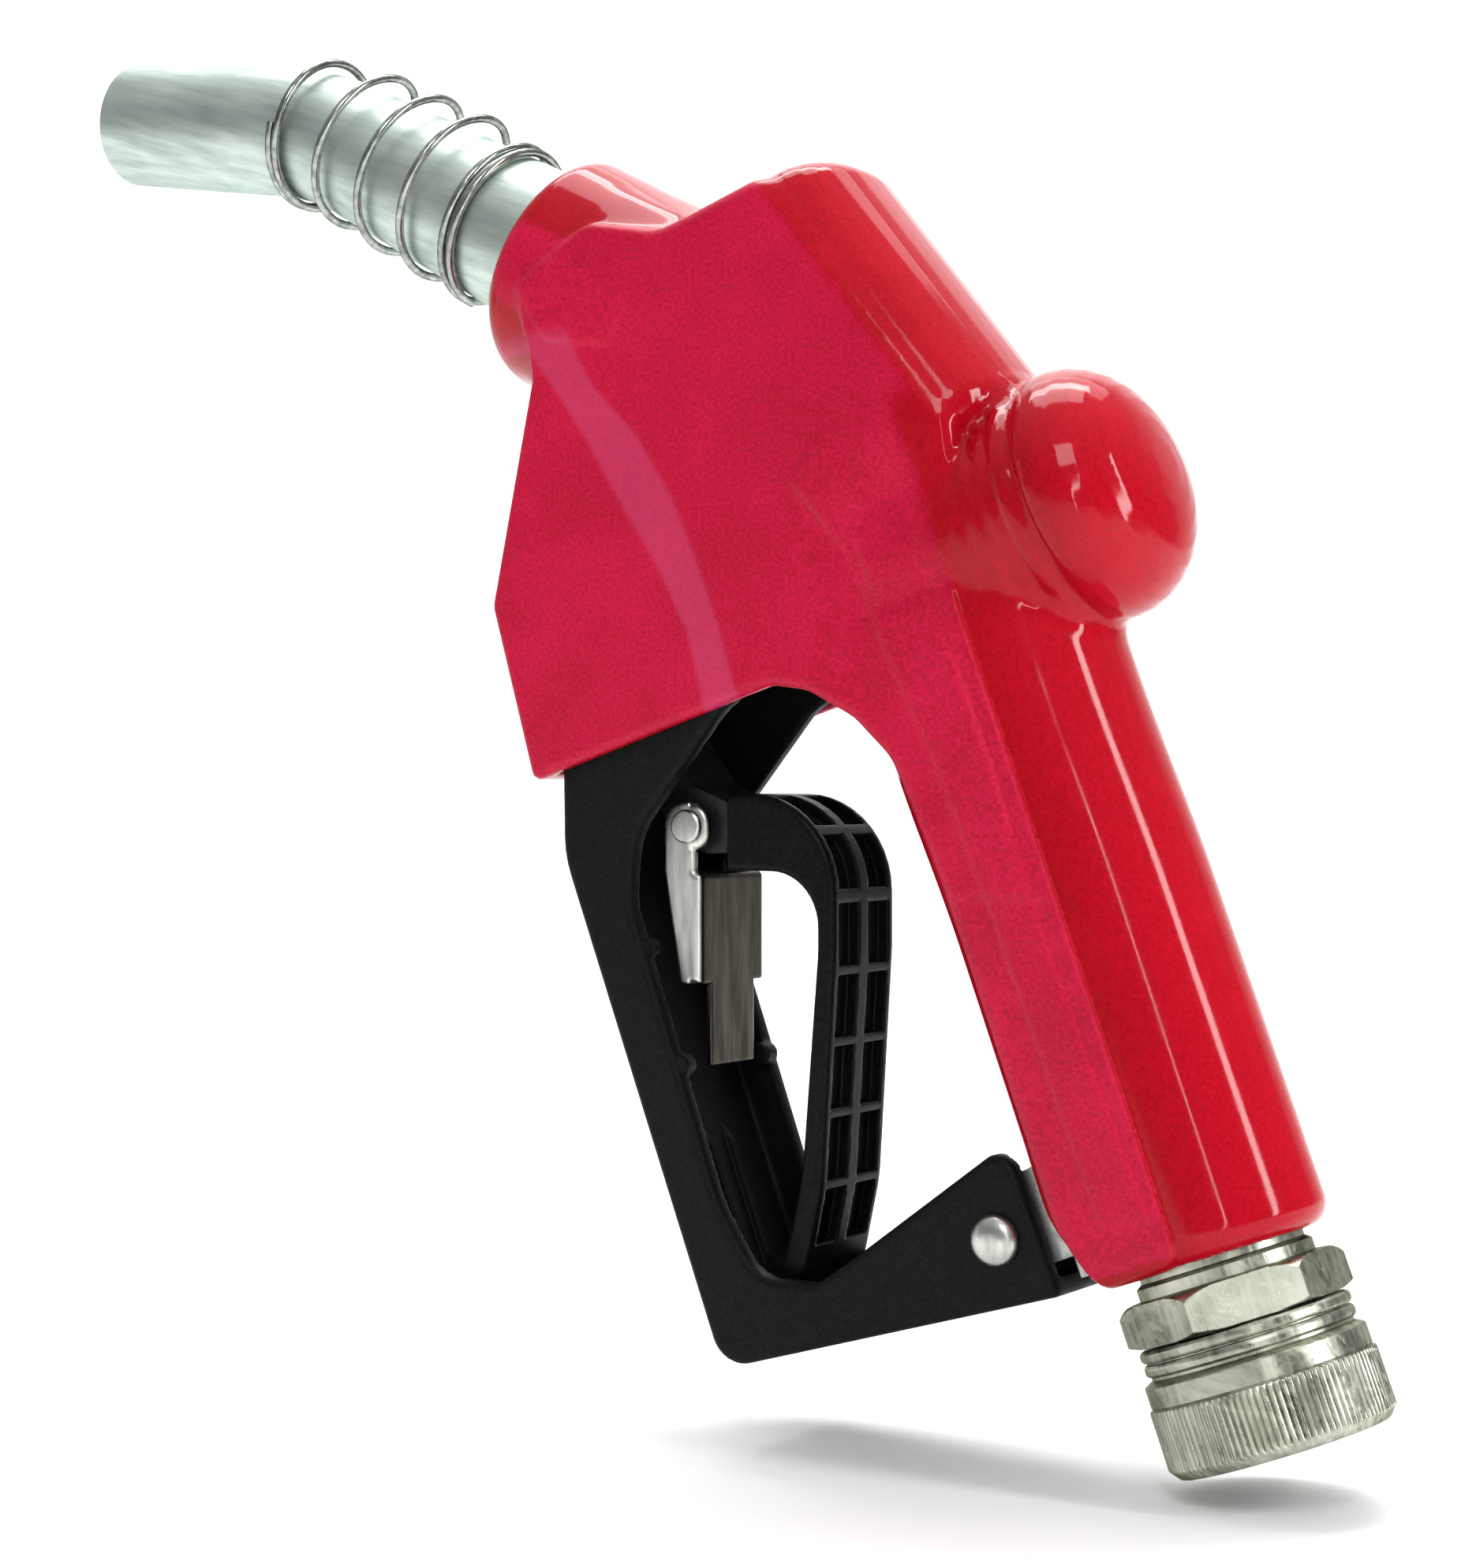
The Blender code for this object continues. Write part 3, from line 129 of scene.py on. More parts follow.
def polygon(u, v, corners):
    """Signed distance to a closed polygon, negative inside."""
    nearest = np.full(u.shape, 1e12)
    inside = np.zeros(u.shape, bool)
    for (au, av), (bu, bv) in zip(corners, corners[1:] + corners[:1]):
        eu, ev = bu - au, bv - av
        length = eu * eu + ev * ev
        if length < 1e-12:
            continue
        wu, wv = u - au, v - av
        share = np.clip((wu * eu + wv * ev) / length, 0.0, 1.0)
        nearest = np.minimum(nearest, (wu - eu * share) ** 2 + (wv - ev * share) ** 2)
        if ev:
            inside ^= ((av > v) != (bv > v)) & (wu < eu * wv / ev)
    return np.where(inside, -1.0, 1.0) * np.sqrt(nearest)


def thick(flat, across, half, edge):
    """A flat shape given by its field, thickened to a half width, its rims rounded by edge."""
    inner = flat + edge
    outer = np.abs(across) - half + edge
    apart = np.hypot(np.maximum(inner, 0.0), np.maximum(outer, 0.0))
    return np.minimum(np.maximum(inner, outer), 0.0) + apart - edge


def merge(first, second, width):
    """The union of two fields with a fillet of that width."""
    share = np.clip(0.5 + 0.5 * (second - first) / width, 0.0, 1.0)
    return second * (1.0 - share) + first * share - width * share * (1.0 - share)


def along_axis(points, origin, direction):
    """Distance along an axis in the XZ plane, and distance across it in that plane."""
    dx = points[:, 0] - origin[0]
    dz = points[:, 2] - origin[1]
    return (dx * direction[0] + dz * direction[1], dx * direction[1] - dz * direction[0])


def lathe(points, origin, direction, profile):
    """The field of a closed half profile of (radius, height) turned about an axis."""
    along, across = along_axis(points, origin, direction)
    return polygon(np.hypot(across, points[:, 1]), along, mirrored(profile))


def rod(points, origin, direction, radius, low, high, edge=0.3):
    """The field of a rod about an axis in the XZ plane."""
    along, across = along_axis(points, origin, direction)
    return thick(np.hypot(across, points[:, 1]) - radius, along - (low + high) / 2.0,
                 (high - low) / 2.0, edge)


def cut(field, *tools, lip=0.0):
    """A field with others taken out, the rims of the cuts eased by lip."""
    for tool in tools:
        if lip:
            field = -merge(-field, tool, lip)
        else:
            field = np.maximum(field, -tool)
    return field


# --- meshes ---------------------------------------------------------------------------------------
BLOCK = 4
CORNERS = np.array([(i, j, k) for i in (0, 1) for j in (0, 1) for k in (0, 1)])


def sample(field, low, counts, step):
    """The field on a grid, worked out exactly only in the blocks near its surface."""
    blocks = (counts - 1) // BLOCK
    centres = [low[n] + step * BLOCK * (np.arange(blocks[n]) + 0.5) for n in range(3)]
    mesh = np.stack(np.meshgrid(*centres, indexing="ij"), -1).reshape(-1, 3)
    rough = field(mesh).reshape(blocks)
    near = np.abs(rough) < step * BLOCK * 1.3
    values = rough
    needed = near
    for axis in range(3):
        values = np.repeat(values, BLOCK, axis)
        values = np.concatenate([values, np.take(values, [-1], axis)], axis)
        spread = np.repeat(needed, BLOCK, axis)
        pad = np.zeros_like(np.take(spread, [0], axis))
        needed = np.concatenate([spread, pad], axis) | np.concatenate([pad, spread], axis)
    index = np.argwhere(needed)
    values[tuple(index.T)] = field(low + index * step)
    return values


def surface(field, low, high, step):
    """Vertices and quads of a field's surface, one vertex in each cell that the surface crosses."""
    low = np.array(low, float)
    counts = np.ceil((np.array(high, float) - low) / step / BLOCK).astype(int) * BLOCK + 1
    values = sample(field, low, counts, step)
    inside = values < 0.0
    filled = sum(inside[i:counts[0] - 1 + i, j:counts[1] - 1 + j, k:counts[2] - 1 + k].astype(int)
                 for i, j, k in CORNERS)
    cells = np.argwhere((filled > 0) & (filled < 8))
    total = np.zeros((len(cells), 3))
    hits = np.zeros(len(cells))
    for start in CORNERS:
        for axis in range(3):
            if start[axis]:
                continue
            end = start.copy()
            end[axis] = 1
            at_start = values[tuple((cells + start).T)]
            at_end = values[tuple((cells + end).T)]
            crossed = (at_start < 0.0) != (at_end < 0.0)
            share = np.where(crossed, at_start / np.where(crossed, at_start - at_end, 1.0), 0.0)
            total += crossed[:, None] * (start + share[:, None] * (end - start))
            hits += crossed
    vertices = low + step * (cells + total / hits[:, None])
    lookup = np.full(counts - 1, -1)
    lookup[tuple(cells.T)] = np.arange(len(cells))
    quads = []
    for axis in range(3):
        one, two = (axis + 1) % 3, (axis + 2) % 3
        ahead = [slice(None)] * 3
        behind = [slice(None)] * 3
        ahead[axis] = slice(1, None)
        behind[axis] = slice(None, -1)
        first, last = inside[tuple(behind)], inside[tuple(ahead)]
        edges = np.argwhere(first != last)
        around = []
        for step_one, step_two in ((-1, -1), (0, -1), (0, 0), (-1, 0)):
            cell = edges.copy()
            cell[:, one] += step_one
            cell[:, two] += step_two
            around.append(lookup[tuple(cell.T)])
        ring = np.stack(around, 1)
        leaving = first[tuple(edges.T)]
        ring[~leaving] = ring[~leaving][:, ::-1]
        quads.append(ring)
    return vertices, np.concatenate(quads)


def settle(field, vertices, step, rounds=3):
    """Moves vertices on to a field's surface."""
    reach = 0.05
    for _ in range(rounds):
        here = field(vertices)
        slope = np.stack([(field(vertices + offset) - here) / reach
                          for offset in np.eye(3) * reach], 1)
        length = np.maximum((slope ** 2).sum(1), 0.25)
        move = np.clip(here / length, -0.5 * step, 0.5 * step)
        vertices = vertices - move[:, None] * slope
    return vertices


def mesh_piece(name, vertices, faces, crease=None):
    """A smooth-shaded object from millimetre vertices, its edges sharper than crease kept sharp."""
    mesh = bpy.data.meshes.new(name)
    mesh.from_pydata((vertices * MM).tolist(), [], faces)
    mesh.validate()
    mesh.shade_smooth()
    if crease is not None:
        mesh.set_sharp_from_angle(angle=math.radians(crease))
    piece = bpy.data.objects.new(name, mesh)
    bpy.context.scene.collection.objects.link(piece)
    return piece


def skinned(name, field, low, high, step, crease=None):
    """An object made from a field inside a box."""
    step *= COARSER
    vertices, quads = surface(field, low, high, step)
    return mesh_piece(name, settle(field, vertices, step), quads.tolist(), crease)


def swept(name, stations, sides, crease=35.0, closed=True):
    """Rings of (centre x, centre z, axis angle, radius) joined into a tube wall.

    A radius may be a function of the angle about the axis. The angle of the axis is that of the
    direction (-cos, sin) in XZ.
    """
    turn = 2.0 * math.pi * np.arange(sides) / sides
    rings = []
    for x, z, angle, radius in stations:
        reach = radius(turn) if callable(radius) else np.full(sides, radius)
        up = reach * np.cos(turn)
        rings.append(np.stack([x + math.sin(angle) * up, reach * np.sin(turn),
                               z + math.cos(angle) * up], 1))
    count = len(rings)
    index = np.arange(count * sides).reshape(count, sides)
    faces = []
    for ring in range(count if closed else count - 1):
        here, there = index[ring], index[(ring + 1) % count]
        faces.append(np.stack([here, np.roll(here, -1), np.roll(there, -1), there], 1))
    return mesh_piece(name, np.concatenate(rings), np.concatenate(faces).tolist(), crease)


def turned(name, profile, origin, direction, sides=192, crease=35.0, closed=True):
    """A profile of (radius, height), outer side from the top down, turned about an axis."""
    angle = math.atan2(direction[1], -direction[0])
    stations = [(origin[0] + direction[0] * height, origin[1] + direction[1] * height, angle,
                 radius) for radius, height in profile]
    return swept(name, stations, sides, crease, closed)


def turned_across(name, profile, xz, sides=96, crease=35.0):
    """A profile of (radius, y) turned about the Y axis through x, z, and closed at its ends."""
    turn = 2.0 * math.pi * np.arange(sides) / sides
    vertices = [np.stack([xz[0] + radius * np.cos(turn), np.full(sides, y),
                          xz[1] + radius * np.sin(turn)], 1) for radius, y in profile]
    index = np.arange(len(profile) * sides).reshape(-1, sides)
    faces = [np.stack([here, there, np.roll(there, -1), np.roll(here, -1)], 1)
             for here, there in zip(index[:-1], index[1:])]
    faces = np.concatenate(faces).tolist() + [index[0].tolist(), index[-1][::-1].tolist()]
    return mesh_piece(name, np.concatenate(vertices), faces, crease)


def box_of(node, margin=1.0):
    """A CAD node's box in millimetres, grown by a margin."""
    low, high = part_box(node)
    return np.array(low) / MM - margin, np.array(high) / MM + margin


def keep(piece, body, slot, material, *nodes):
    """Puts a finished piece on its body, in place of the CAD nodes that it stands for."""
    piece.data.materials.clear()
    piece.data.materials.append(material)
    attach(piece, body)
    if nodes:
        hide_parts(*nodes)
    return piece


# --- materials ------------------------------------------------------------------------------------
class Finish:
    """A Principled material with helpers for its procedural detail."""

    def __init__(self, name, colour, roughness, metallic=0.0, **sockets):
        self.material = bpy.data.materials.new(name)
        self.material.use_nodes = True
        self.nodes = self.material.node_tree.nodes
        self.links = self.material.node_tree.links
        self.shader = self.nodes["Principled BSDF"]
        self.shader.inputs["Base Color"].default_value = (*colour, 1.0)
        self.shader.inputs["Roughness"].default_value = roughness
        self.shader.inputs["Metallic"].default_value = metallic
        for socket, value in sockets.items():
            self.shader.inputs[socket.replace("_", " ")].default_value = value
        self.place = self.nodes.new("ShaderNodeTexCoord").outputs["Object"]
        self.normal = None

    def add(self, kind, inputs=(), **settings):
        """A node with settings, and inputs given as (socket, value or output) pairs."""
        node = self.nodes.new("ShaderNode" + kind)
        for key, value in settings.items():
            setattr(node, key, value)
        for socket, value in inputs:
            if isinstance(value, bpy.types.NodeSocket):
                self.links.new(value, node.inputs[socket])
            else:
                node.inputs[socket].default_value = value
        return node

    def stretched(self, lean=0.0, scale=(1.0, 1.0, 1.0)):
        """Object coordinates turned about Y by lean and scaled, for grain that has a direction."""
        turned_place = self.add("Mapping", [("Vector", self.place), ("Rotation", (0.0, lean, 0.0))],
                                vector_type="POINT")
        return self.add("Mapping", [("Vector", turned_place.outputs[0]), ("Scale", scale)],
                        vector_type="POINT").outputs[0]

    def noise(self, scale, detail=2.0, roughness=0.5, vector=None):
        """The value of a noise texture."""
        return self.add("TexNoise", [("Vector", vector or self.place), ("Scale", scale),
                                     ("Detail", detail), ("Roughness", roughness)]).outputs[0]

    def between(self, value, low, high, from_low=0.3, from_high=0.7):
        """A value carried from one range to another."""
        return self.add("MapRange", [("Value", value), ("From Min", from_low),
                                     ("From Max", from_high), ("To Min", low),
                                     ("To Max", high)]).outputs[0]

    def colours(self, value, *stops):
        """A colour ramp of (position, colour) stops."""
        ramp = self.add("ValToRGB", [("Fac", value)])
        elements = ramp.color_ramp.elements
        while len(elements) < len(stops):
            elements.new(0.5)
        for element, (position, colour) in zip(elements, stops):
            element.position = position
            element.color = (*colour, 1.0)
        return ramp.outputs[0]

    def bump(self, height, distance, strength=1.0):
        """Adds a bump of that depth in metres on top of those already there."""
        inputs = [("Height", height), ("Distance", distance), ("Strength", strength)]
        if self.normal is not None:
            inputs.append(("Normal", self.normal))
        self.normal = self.add("Bump", inputs).outputs[0]
        self.links.new(self.normal, self.shader.inputs["Normal"])

    def set(self, socket, output):
        """Feeds one of the shader's sockets."""
        self.links.new(output, self.shader.inputs[socket])

    def math(self, operation, *values):
        """A math node."""
        return self.add("Math", list(enumerate(values)), operation=operation).outputs[0]

    def attribute(self, name):
        """A value painted on the mesh's vertices."""
        return self.add("Attribute", attribute_name=name).outputs["Fac"]


def vinyl():
    """Dipped red vinyl: glossy where it is drawn tight, finely grained on the moulded flats, with a
    pink sheen painted along the sloping step.
    """
    finish = Finish("red_vinyl", (0.5, 0.01, 0.035), 0.2, Specular_IOR_Level=0.2)
    flat = finish.attribute("flat")
    step = finish.attribute("step")
    tone = finish.math("ADD", finish.math("MULTIPLY", finish.noise(70.0, 3.0), 0.3),
                       finish.math("MULTIPLY", finish.noise(1500.0, 3.0), 0.7))
    grained = finish.colours(tone, (0.36, (0.4, 0.003, 0.024)), (0.64, (0.62, 0.006, 0.052)))
    glossy = finish.colours(tone, (0.36, (0.33, 0.002, 0.008)), (0.64, (0.45, 0.003, 0.014)))
    blend = finish.add("MixRGB", [("Fac", flat), ("Color1", glossy), ("Color2", grained)])
    # Painted sheen: the sloping step on the sides is tinted pinker, standing in for the broad
    # reflection it catches.
    step_painted_sheen = finish.add("MixRGB", [("Fac", finish.math("MULTIPLY", step, 0.5)),
                                 ("Color1", blend.outputs[0]), ("Color2", (0.56, 0.05, 0.15, 1.0))])
    finish.set("Base Color", step_painted_sheen.outputs[0])
    grain = finish.between(finish.noise(2600.0, 3.0), 0.36, 0.5)
    gloss = finish.between(finish.noise(240.0, 2.0), 0.05, 0.11)
    mix = finish.add("Mix", [("Factor", flat), ("A", gloss), ("B", grain)])
    finish.set("Roughness", mix.outputs[0])
    finish.bump(finish.math("MULTIPLY", finish.noise(1500.0, 3.0), flat), 0.00012, 0.45)
    finish.bump(finish.noise(55.0, 1.0), 0.0004, 0.1)
    return finish.material


def black(name, tone, low, high, grain_scale, depth, level=0.2):
    """Black moulded plastic with an even spark-eroded grain."""
    finish = Finish(name, (tone, tone, tone), low, Specular_IOR_Level=level)
    fine = finish.noise(grain_scale, 2.0)
    finish.set("Base Color", finish.colours(fine, (0.35, (tone * 0.6,) * 3),
                                            (0.7, (tone * 1.4, tone * 2.1, tone * 1.9))))
    finish.set("Roughness", finish.between(finish.noise(420.0, 3.0), low, high))
    finish.bump(fine, depth, 0.6)
    return finish.material


def clip_steel():
    """Zinc-plated sheet: bright brushed plates, and a web with a dark brownish reflection painted
    on it.
    """
    finish = Finish("clip_sheet", (0.7, 0.7, 0.66), 0.3, 1.0)
    streak = finish.noise(500.0, 4.0, 0.6, finish.stretched(0.0, (1.0, 1.0, 0.12)))
    bright = finish.colours(streak, (0.36, (0.45, 0.46, 0.42)), (0.62, (0.78, 0.79, 0.74)))
    # Painted dark reflection: the web and tongue get a near-black brown instead of the zinc's own
    # bright colour.
    dull = finish.colours(streak, (0.36, (0.026, 0.023, 0.017)), (0.62, (0.07, 0.062, 0.045)))
    blend = finish.add("MixRGB", [("Fac", finish.attribute("web")), ("Color1", bright),
                                  ("Color2", dull)])
    finish.set("Base Color", blend.outputs[0])
    finish.set("Roughness", finish.between(streak, 0.42, 0.26, 0.35, 0.65))
    finish.bump(streak, 0.00002, 0.5)
    return finish.material


def metal(name, dark, light, low, high, lean, scale, grain, depth, metallic=1.0):
    """Metal with streaks along one direction, uneven tone and fine scratches."""
    finish = Finish(name, light, low, metallic, Specular_Tint=(*dark, 1.0))
    streak = finish.noise(grain, 5.0, 0.6, finish.stretched(lean, scale))
    cloud = finish.noise(90.0, 3.0)
    tone = finish.math("ADD", finish.math("MULTIPLY", streak, 0.65),
                       finish.math("MULTIPLY", cloud, 0.35))
    finish.set("Base Color", finish.colours(tone, (0.36, dark), (0.62, light)))
    finish.set("Roughness", finish.between(tone, high, low, 0.35, 0.65))
    finish.bump(streak, depth, 0.5)
    return finish.material


def scratched_nickel():
    """Nickel plate gone dull, with bright tool marks and scratches in two directions."""
    finish = Finish("nickel_plate", (0.55, 0.55, 0.48), 0.3, 1.0,
                    Specular_Tint=(0.3, 0.32, 0.26, 1.0))
    one = finish.noise(900.0, 3.0, 0.6, finish.stretched(GRIP_LEAN, (1.0, 1.0, 0.07)))
    two = finish.noise(700.0, 3.0, 0.6, finish.stretched(GRIP_LEAN + 1.1, (1.0, 1.0, 0.09)))
    marks = finish.math("MAXIMUM", one, two)
    cloud = finish.noise(130.0, 3.0)
    tone = finish.math("ADD", finish.math("MULTIPLY", marks, 0.6),
                       finish.math("MULTIPLY", cloud, 0.4))
    finish.set("Base Color", finish.colours(tone, (0.4, (0.24, 0.26, 0.2)),
                                            (0.64, (0.6, 0.61, 0.52))))
    finish.set("Roughness", finish.between(marks, 0.2, 0.4))
    finish.bump(marks, 0.00005, 0.7)
    return finish.material


SPOUT_LEAN = (SPOUT_ROOT_ANGLE + SPOUT_TIP_ANGLE) / 2.0
VINYL = vinyl()
GUARD_BLACK = black("grained_black", 0.0045, 0.4, 0.55, 2400.0, 0.00006, 0.12)
LEVER_BLACK = black("gloss_black", 0.004, 0.3, 0.42, 1500.0, 0.00002, 0.1)
ARM_BLACK = black("blackened_steel", 0.01, 0.3, 0.45, 1300.0, 0.00003, 0.4)
TUBE_METAL = metal("drawn_aluminium", (0.42, 0.49, 0.45), (0.64, 0.73, 0.67), 0.38, 0.5,
                   -SPOUT_LEAN, (0.08, 1.0, 1.0), 520.0, 0.00004, 0.9)
WIRE_METAL = metal("spring_wire", (0.2, 0.22, 0.2), (0.5, 0.53, 0.49), 0.1, 0.2,
                   0.0, (1.0, 1.0, 1.0), 600.0, 0.00001)
PLATE_METAL = metal("zinc_plate", (0.45, 0.47, 0.43), (0.76, 0.77, 0.72), 0.2, 0.36,
                    0.0, (1.0, 1.0, 0.12), 500.0, 0.00002)
CLIP_METAL = clip_steel()
NICKEL = scratched_nickel()
CAST_METAL = metal("cast_metal", (0.4, 0.41, 0.4), (0.68, 0.69, 0.66), 0.3, 0.5,
                   0.0, (1.0, 1.0, 1.0), 700.0, 0.00008)
BRASS = metal("machined_brass", (0.5, 0.34, 0.1), (0.8, 0.58, 0.24), 0.22, 0.36,
              0.0, (1.0, 1.0, 1.0), 500.0, 0.00002)
RUBBER = black("black_rubber", 0.015, 0.6, 0.8, 1800.0, 0.00004)

# --- cover ----------------------------------------------------------------------------------------
BODY_OUTLINE = rounded([
    (-133.7, 105.2, 1.5), (-90.0, 119.5, 8.0), (-84.0, 121.4, 5.0), (-77.0, 120.5, 8.0),
    (-68.0, 115.8, 10.0), (-60.5, 108.4, 10.0), (-57.2, 101.5, 8.0), (-50.0, 86.0, 0.0),
    (-32.0, 86.0, 0.0), (*grip_xz(-1.5, 105.0), 0.0), (*grip_xz(-1.5, 128.0), 0.0),
    (*grip_xz(2.0, 142.0), 0.0), (*grip_xz(8.0, 160.0), 0.0),
    (*ridge_xz(0.0, 27.0), 0.0), (*ridge_xz(0.0, -28.0), 6.0), (-107.0, 200.5, 8.0),
    (-122.0, 203.0, 6.0), (-137.0, 193.0, 0.0), (-134.1, 176.5, 3.0), (-142.8, 136.5, 4.0)])
CROWN_START = -29.0
CROWN_END = 30.0
CROWN_SECTION = [(9.0, -18.0), (9.0, 18.0), (0.4, 18.6), (-1.8, 17.4), (-3.6, 15.8), (-5.2, 13.4),
                 (-6.5, 10.4), (-7.3, 7.2), (-7.8, 3.8), (-7.9, 0.0), (-7.8, -3.8), (-7.3, -7.2),
                 (-6.5, -10.4), (-5.2, -13.4), (-3.6, -15.8), (-1.8, -17.4), (0.4, -18.6)]
KNOB_PROFILE = [
    (0.0, 36.0), (4.0, 35.9), (8.0, 35.4), (11.5, 34.5), (14.5, 33.1), (17.0, 31.2), (19.0, 28.9),
    (20.5, 26.3), (21.3, 23.6), (21.5, 21.4), (21.0, 19.6), (20.2, 18.8), (20.0, 18.2),
    (20.5, 17.4), (20.9, 16.2), (20.7, 15.0), (20.1, 14.2), (20.45, 12.6), (20.0, 10.9),
    (20.4, 9.2), (20.0, 7.5), (20.35, 5.8), (20.1, 4.0), (20.1, -12.0), (0.0, -12.0)]
STEP_HEIGHTS = [119.0, 131.0, 142.0, 154.0, 165.0, 174.0, 182.0]
STEP_FRONT = [-98.0, -101.2, -107.2, -115.5, -122.5, -129.0, -135.5]
STEP_BACK = [-89.5, -93.2, -97.4, -102.7, -110.0, -119.2, -124.0]
STEP_DROP = 0.7
GRIP_PAD = [(-79.8, 155.3), (-69.1, 143.0), (-60.2, 123.3), (-52.8, 109.1), (-44.2, 88.9),
            (-31.6, 56.7), (-22.7, 34.8), (-15.0, 37.5), (-26.1, 63.2), (-37.1, 91.5),
            (-42.8, 109.1), (-47.8, 121.8), (-55.0, 136.7), (-62.4, 149.2), (-74.4, 162.2)]
LABEL_PAD = [(-137.0, 193.5), (-130.3, 183.0), (-116.2, 181.3), (-112.6, 189.2), (-124.3, 195.1),
             (-134.0, 199.0)]
PAD_HEIGHT = 0.42
PAD_EDGE = 0.45
BOOT_RADIUS = 19.2
CHIN_RADIUS = 17.2
CHIN_DROP = 6.0
CHIN = (SPOUT_ROOT[0] - CHIN_DROP * math.sin(SPOUT_ROOT_ANGLE),
        SPOUT_ROOT[1] - CHIN_DROP * math.cos(SPOUT_ROOT_ANGLE))


def side_relief(x, z):
    """How far the flat sides stand out or are set back, and where the sloping step is."""
    front = np.interp(z, STEP_HEIGHTS, STEP_FRONT)
    back = np.interp(z, STEP_HEIGHTS, STEP_BACK)
    share = np.maximum(np.clip((x - front) / (back - front), 0.0, 1.0), smooth(181.0, 186.0, z))
    relief = STEP_DROP * (share - 1.0)
    for pad in (GRIP_PAD, LABEL_PAD):
        relief += PAD_HEIGHT * smooth(PAD_EDGE, -PAD_EDGE, polygon(x, z, pad))
    return relief, share


def grip_field(points, relief):
    """The grip: flat front and sides, a round back that meets the sides in a slight edge."""
    b, a = along_axis(points, (0.0, 0.0), GRIP_UP)
    y = points[:, 1]
    low = smooth(125.0, 90.0, b)
    front = -20.5 + 1.1 * low
    corner = 4.5 - 4.2 * smooth(-13.0, -6.0, a)
    box = thick(np.abs(a - (front + 1.2) / 2.0) - (1.2 - front) / 2.0, y, 19.0 + relief, corner)
    back = np.hypot(a + 0.4 - 0.9 * low, y) - 18.3
    return thick(np.minimum(box, back), b - 90.0, 58.5, 4.2)


def cover_form(points):
    """The cover's outer form."""
    x, y, z = points.T
    side = np.abs(y)
    width = 1.0 + 5.0 * (1.0 - smooth(9.0, 17.5, side))
    relief, _ = side_relief(x, z)
    along, depth = along_axis(points, TRIP_TOP, RIDGE)
    rim = 1.5 + 1.7 * smooth(34.0, 14.0, depth)
    up, over = along_axis(points, (0.0, 0.0), GRIP_UP)
    narrow = np.maximum(smooth(128.0, 98.0, up),
                        smooth(-30.0, -10.0, over) * smooth(176.0, 158.0, up))
    half = BODY_HALF + relief - 1.05 * narrow
    form = thick(polygon(x, z, BODY_OUTLINE), y, half, rim)
    form = merge(form, grip_field(points, np.maximum(relief, 0.0)), width)
    middle = (CROWN_START + CROWN_END) / 2.0
    crown = thick(polygon(depth, y, CROWN_SECTION), along - middle, middle - CROWN_START, 6.0)
    form = merge(form, crown, 1.2)
    form = merge(form, lathe(points, grip_xz(0.0, VALVE_B), VALVE_AXIS, KNOB_PROFILE),
                 0.6 + 0.6 * width)
    boot = rod(points, SPOUT_ROOT, SPOUT_IN, BOOT_RADIUS, 11.6, 48.0, 3.4)
    chin = rod(points, CHIN, SPOUT_IN, CHIN_RADIUS, 12.2, 34.0, 5.0)
    return merge(form, merge(boot, chin, 6.0), 1.6 * width)


SKIRT_MOUTH = [(-130.6, 95.0), (-67.0, 95.0), (-67.0, 121.0), (-84.0, 128.0), (-129.6, 112.0)]
NOTCH = [grip_xz(-40.0, 20.0), grip_xz(-13.2, 20.0), grip_xz(-13.2, 31.5), grip_xz(-16.4, 40.0),
         grip_xz(-22.0, 52.0), grip_xz(-40.0, 52.0)]
LUG_SLOT = [(*grip_xz(-14.0, 37.5),), (*grip_xz(-14.0, 55.0),), (-47.9, 40.3), (-50.9, 30.3),
            (-41.9, 23.8)]


def cover_field(points):
    """The cover with its inside, its mouths and the slot for the guard's lug."""
    x, y, z = points.T
    form = cover_form(points)
    skirt = thick(polygon(x, z, SKIRT_MOUTH), y, BODY_HALF - WALL - STEP_DROP, 1.0)
    spout_mouth = rod(points, SPOUT_ROOT, SPOUT_IN, 14.6, 0.0, 20.0)
    hose_mouth = rod(points, (0.0, 0.0), GRIP_UP, 15.0, 25.0, 40.0)
    lug = thick(polygon(x, z, LUG_SLOT), y, 13.4, 0.5)
    notch = thick(polygon(x, z, NOTCH), y, 30.0, 0.5)
    return cut(np.maximum(form, -(form + WALL)), skirt, spout_mouth, hose_mouth, lug, notch,
               lip=0.9)


def paint(piece, name, values):
    """Writes a value for each vertex."""
    layer = piece.data.attributes.new(name, "FLOAT", "POINT")
    layer.data.foreach_set("value", values.astype(np.float32))


def make_cover():
    """The red cover, its flats marked for their grain and its sloping step for a painted sheen."""
    piece = skinned("cover", cover_field, *box_of("scuff_cover", 2.0), 0.7)
    points = np.array([vertex.co for vertex in piece.data.vertices]) / MM
    out, across = along_axis(points, grip_xz(0.0, VALVE_B), VALVE_AXIS)
    on_valve = smooth(27.0, 21.0, np.abs(across)) * smooth(-1.0, 4.0, out)
    up, over = along_axis(points, (0.0, 0.0), GRIP_UP)
    on_round = smooth(0.9, 1.5, over) * smooth(150.0, 140.0, up)
    _, depth = along_axis(points, TRIP_TOP, RIDGE)
    flat = smooth(18.1, 18.8, np.abs(points[:, 1])) * smooth(1.5, 3.5, depth)
    flat *= (1.0 - on_valve) * (1.0 - on_round)
    _, share = side_relief(points[:, 0], points[:, 2])
    # The step mask carries a pink sheen painted into the vinyl's colour, in place of the step's
    # reflection.
    painted_sheen_on_step = smooth(0.0, 0.12, share) * smooth(1.0, 0.88, share)
    painted_sheen_on_step *= smooth(186.0, 182.0, points[:, 2])
    paint(piece, "flat", flat)
    paint(piece, "step", painted_sheen_on_step)
    keep(piece, "body", "red_vinyl", VINYL, "scuff_cover")


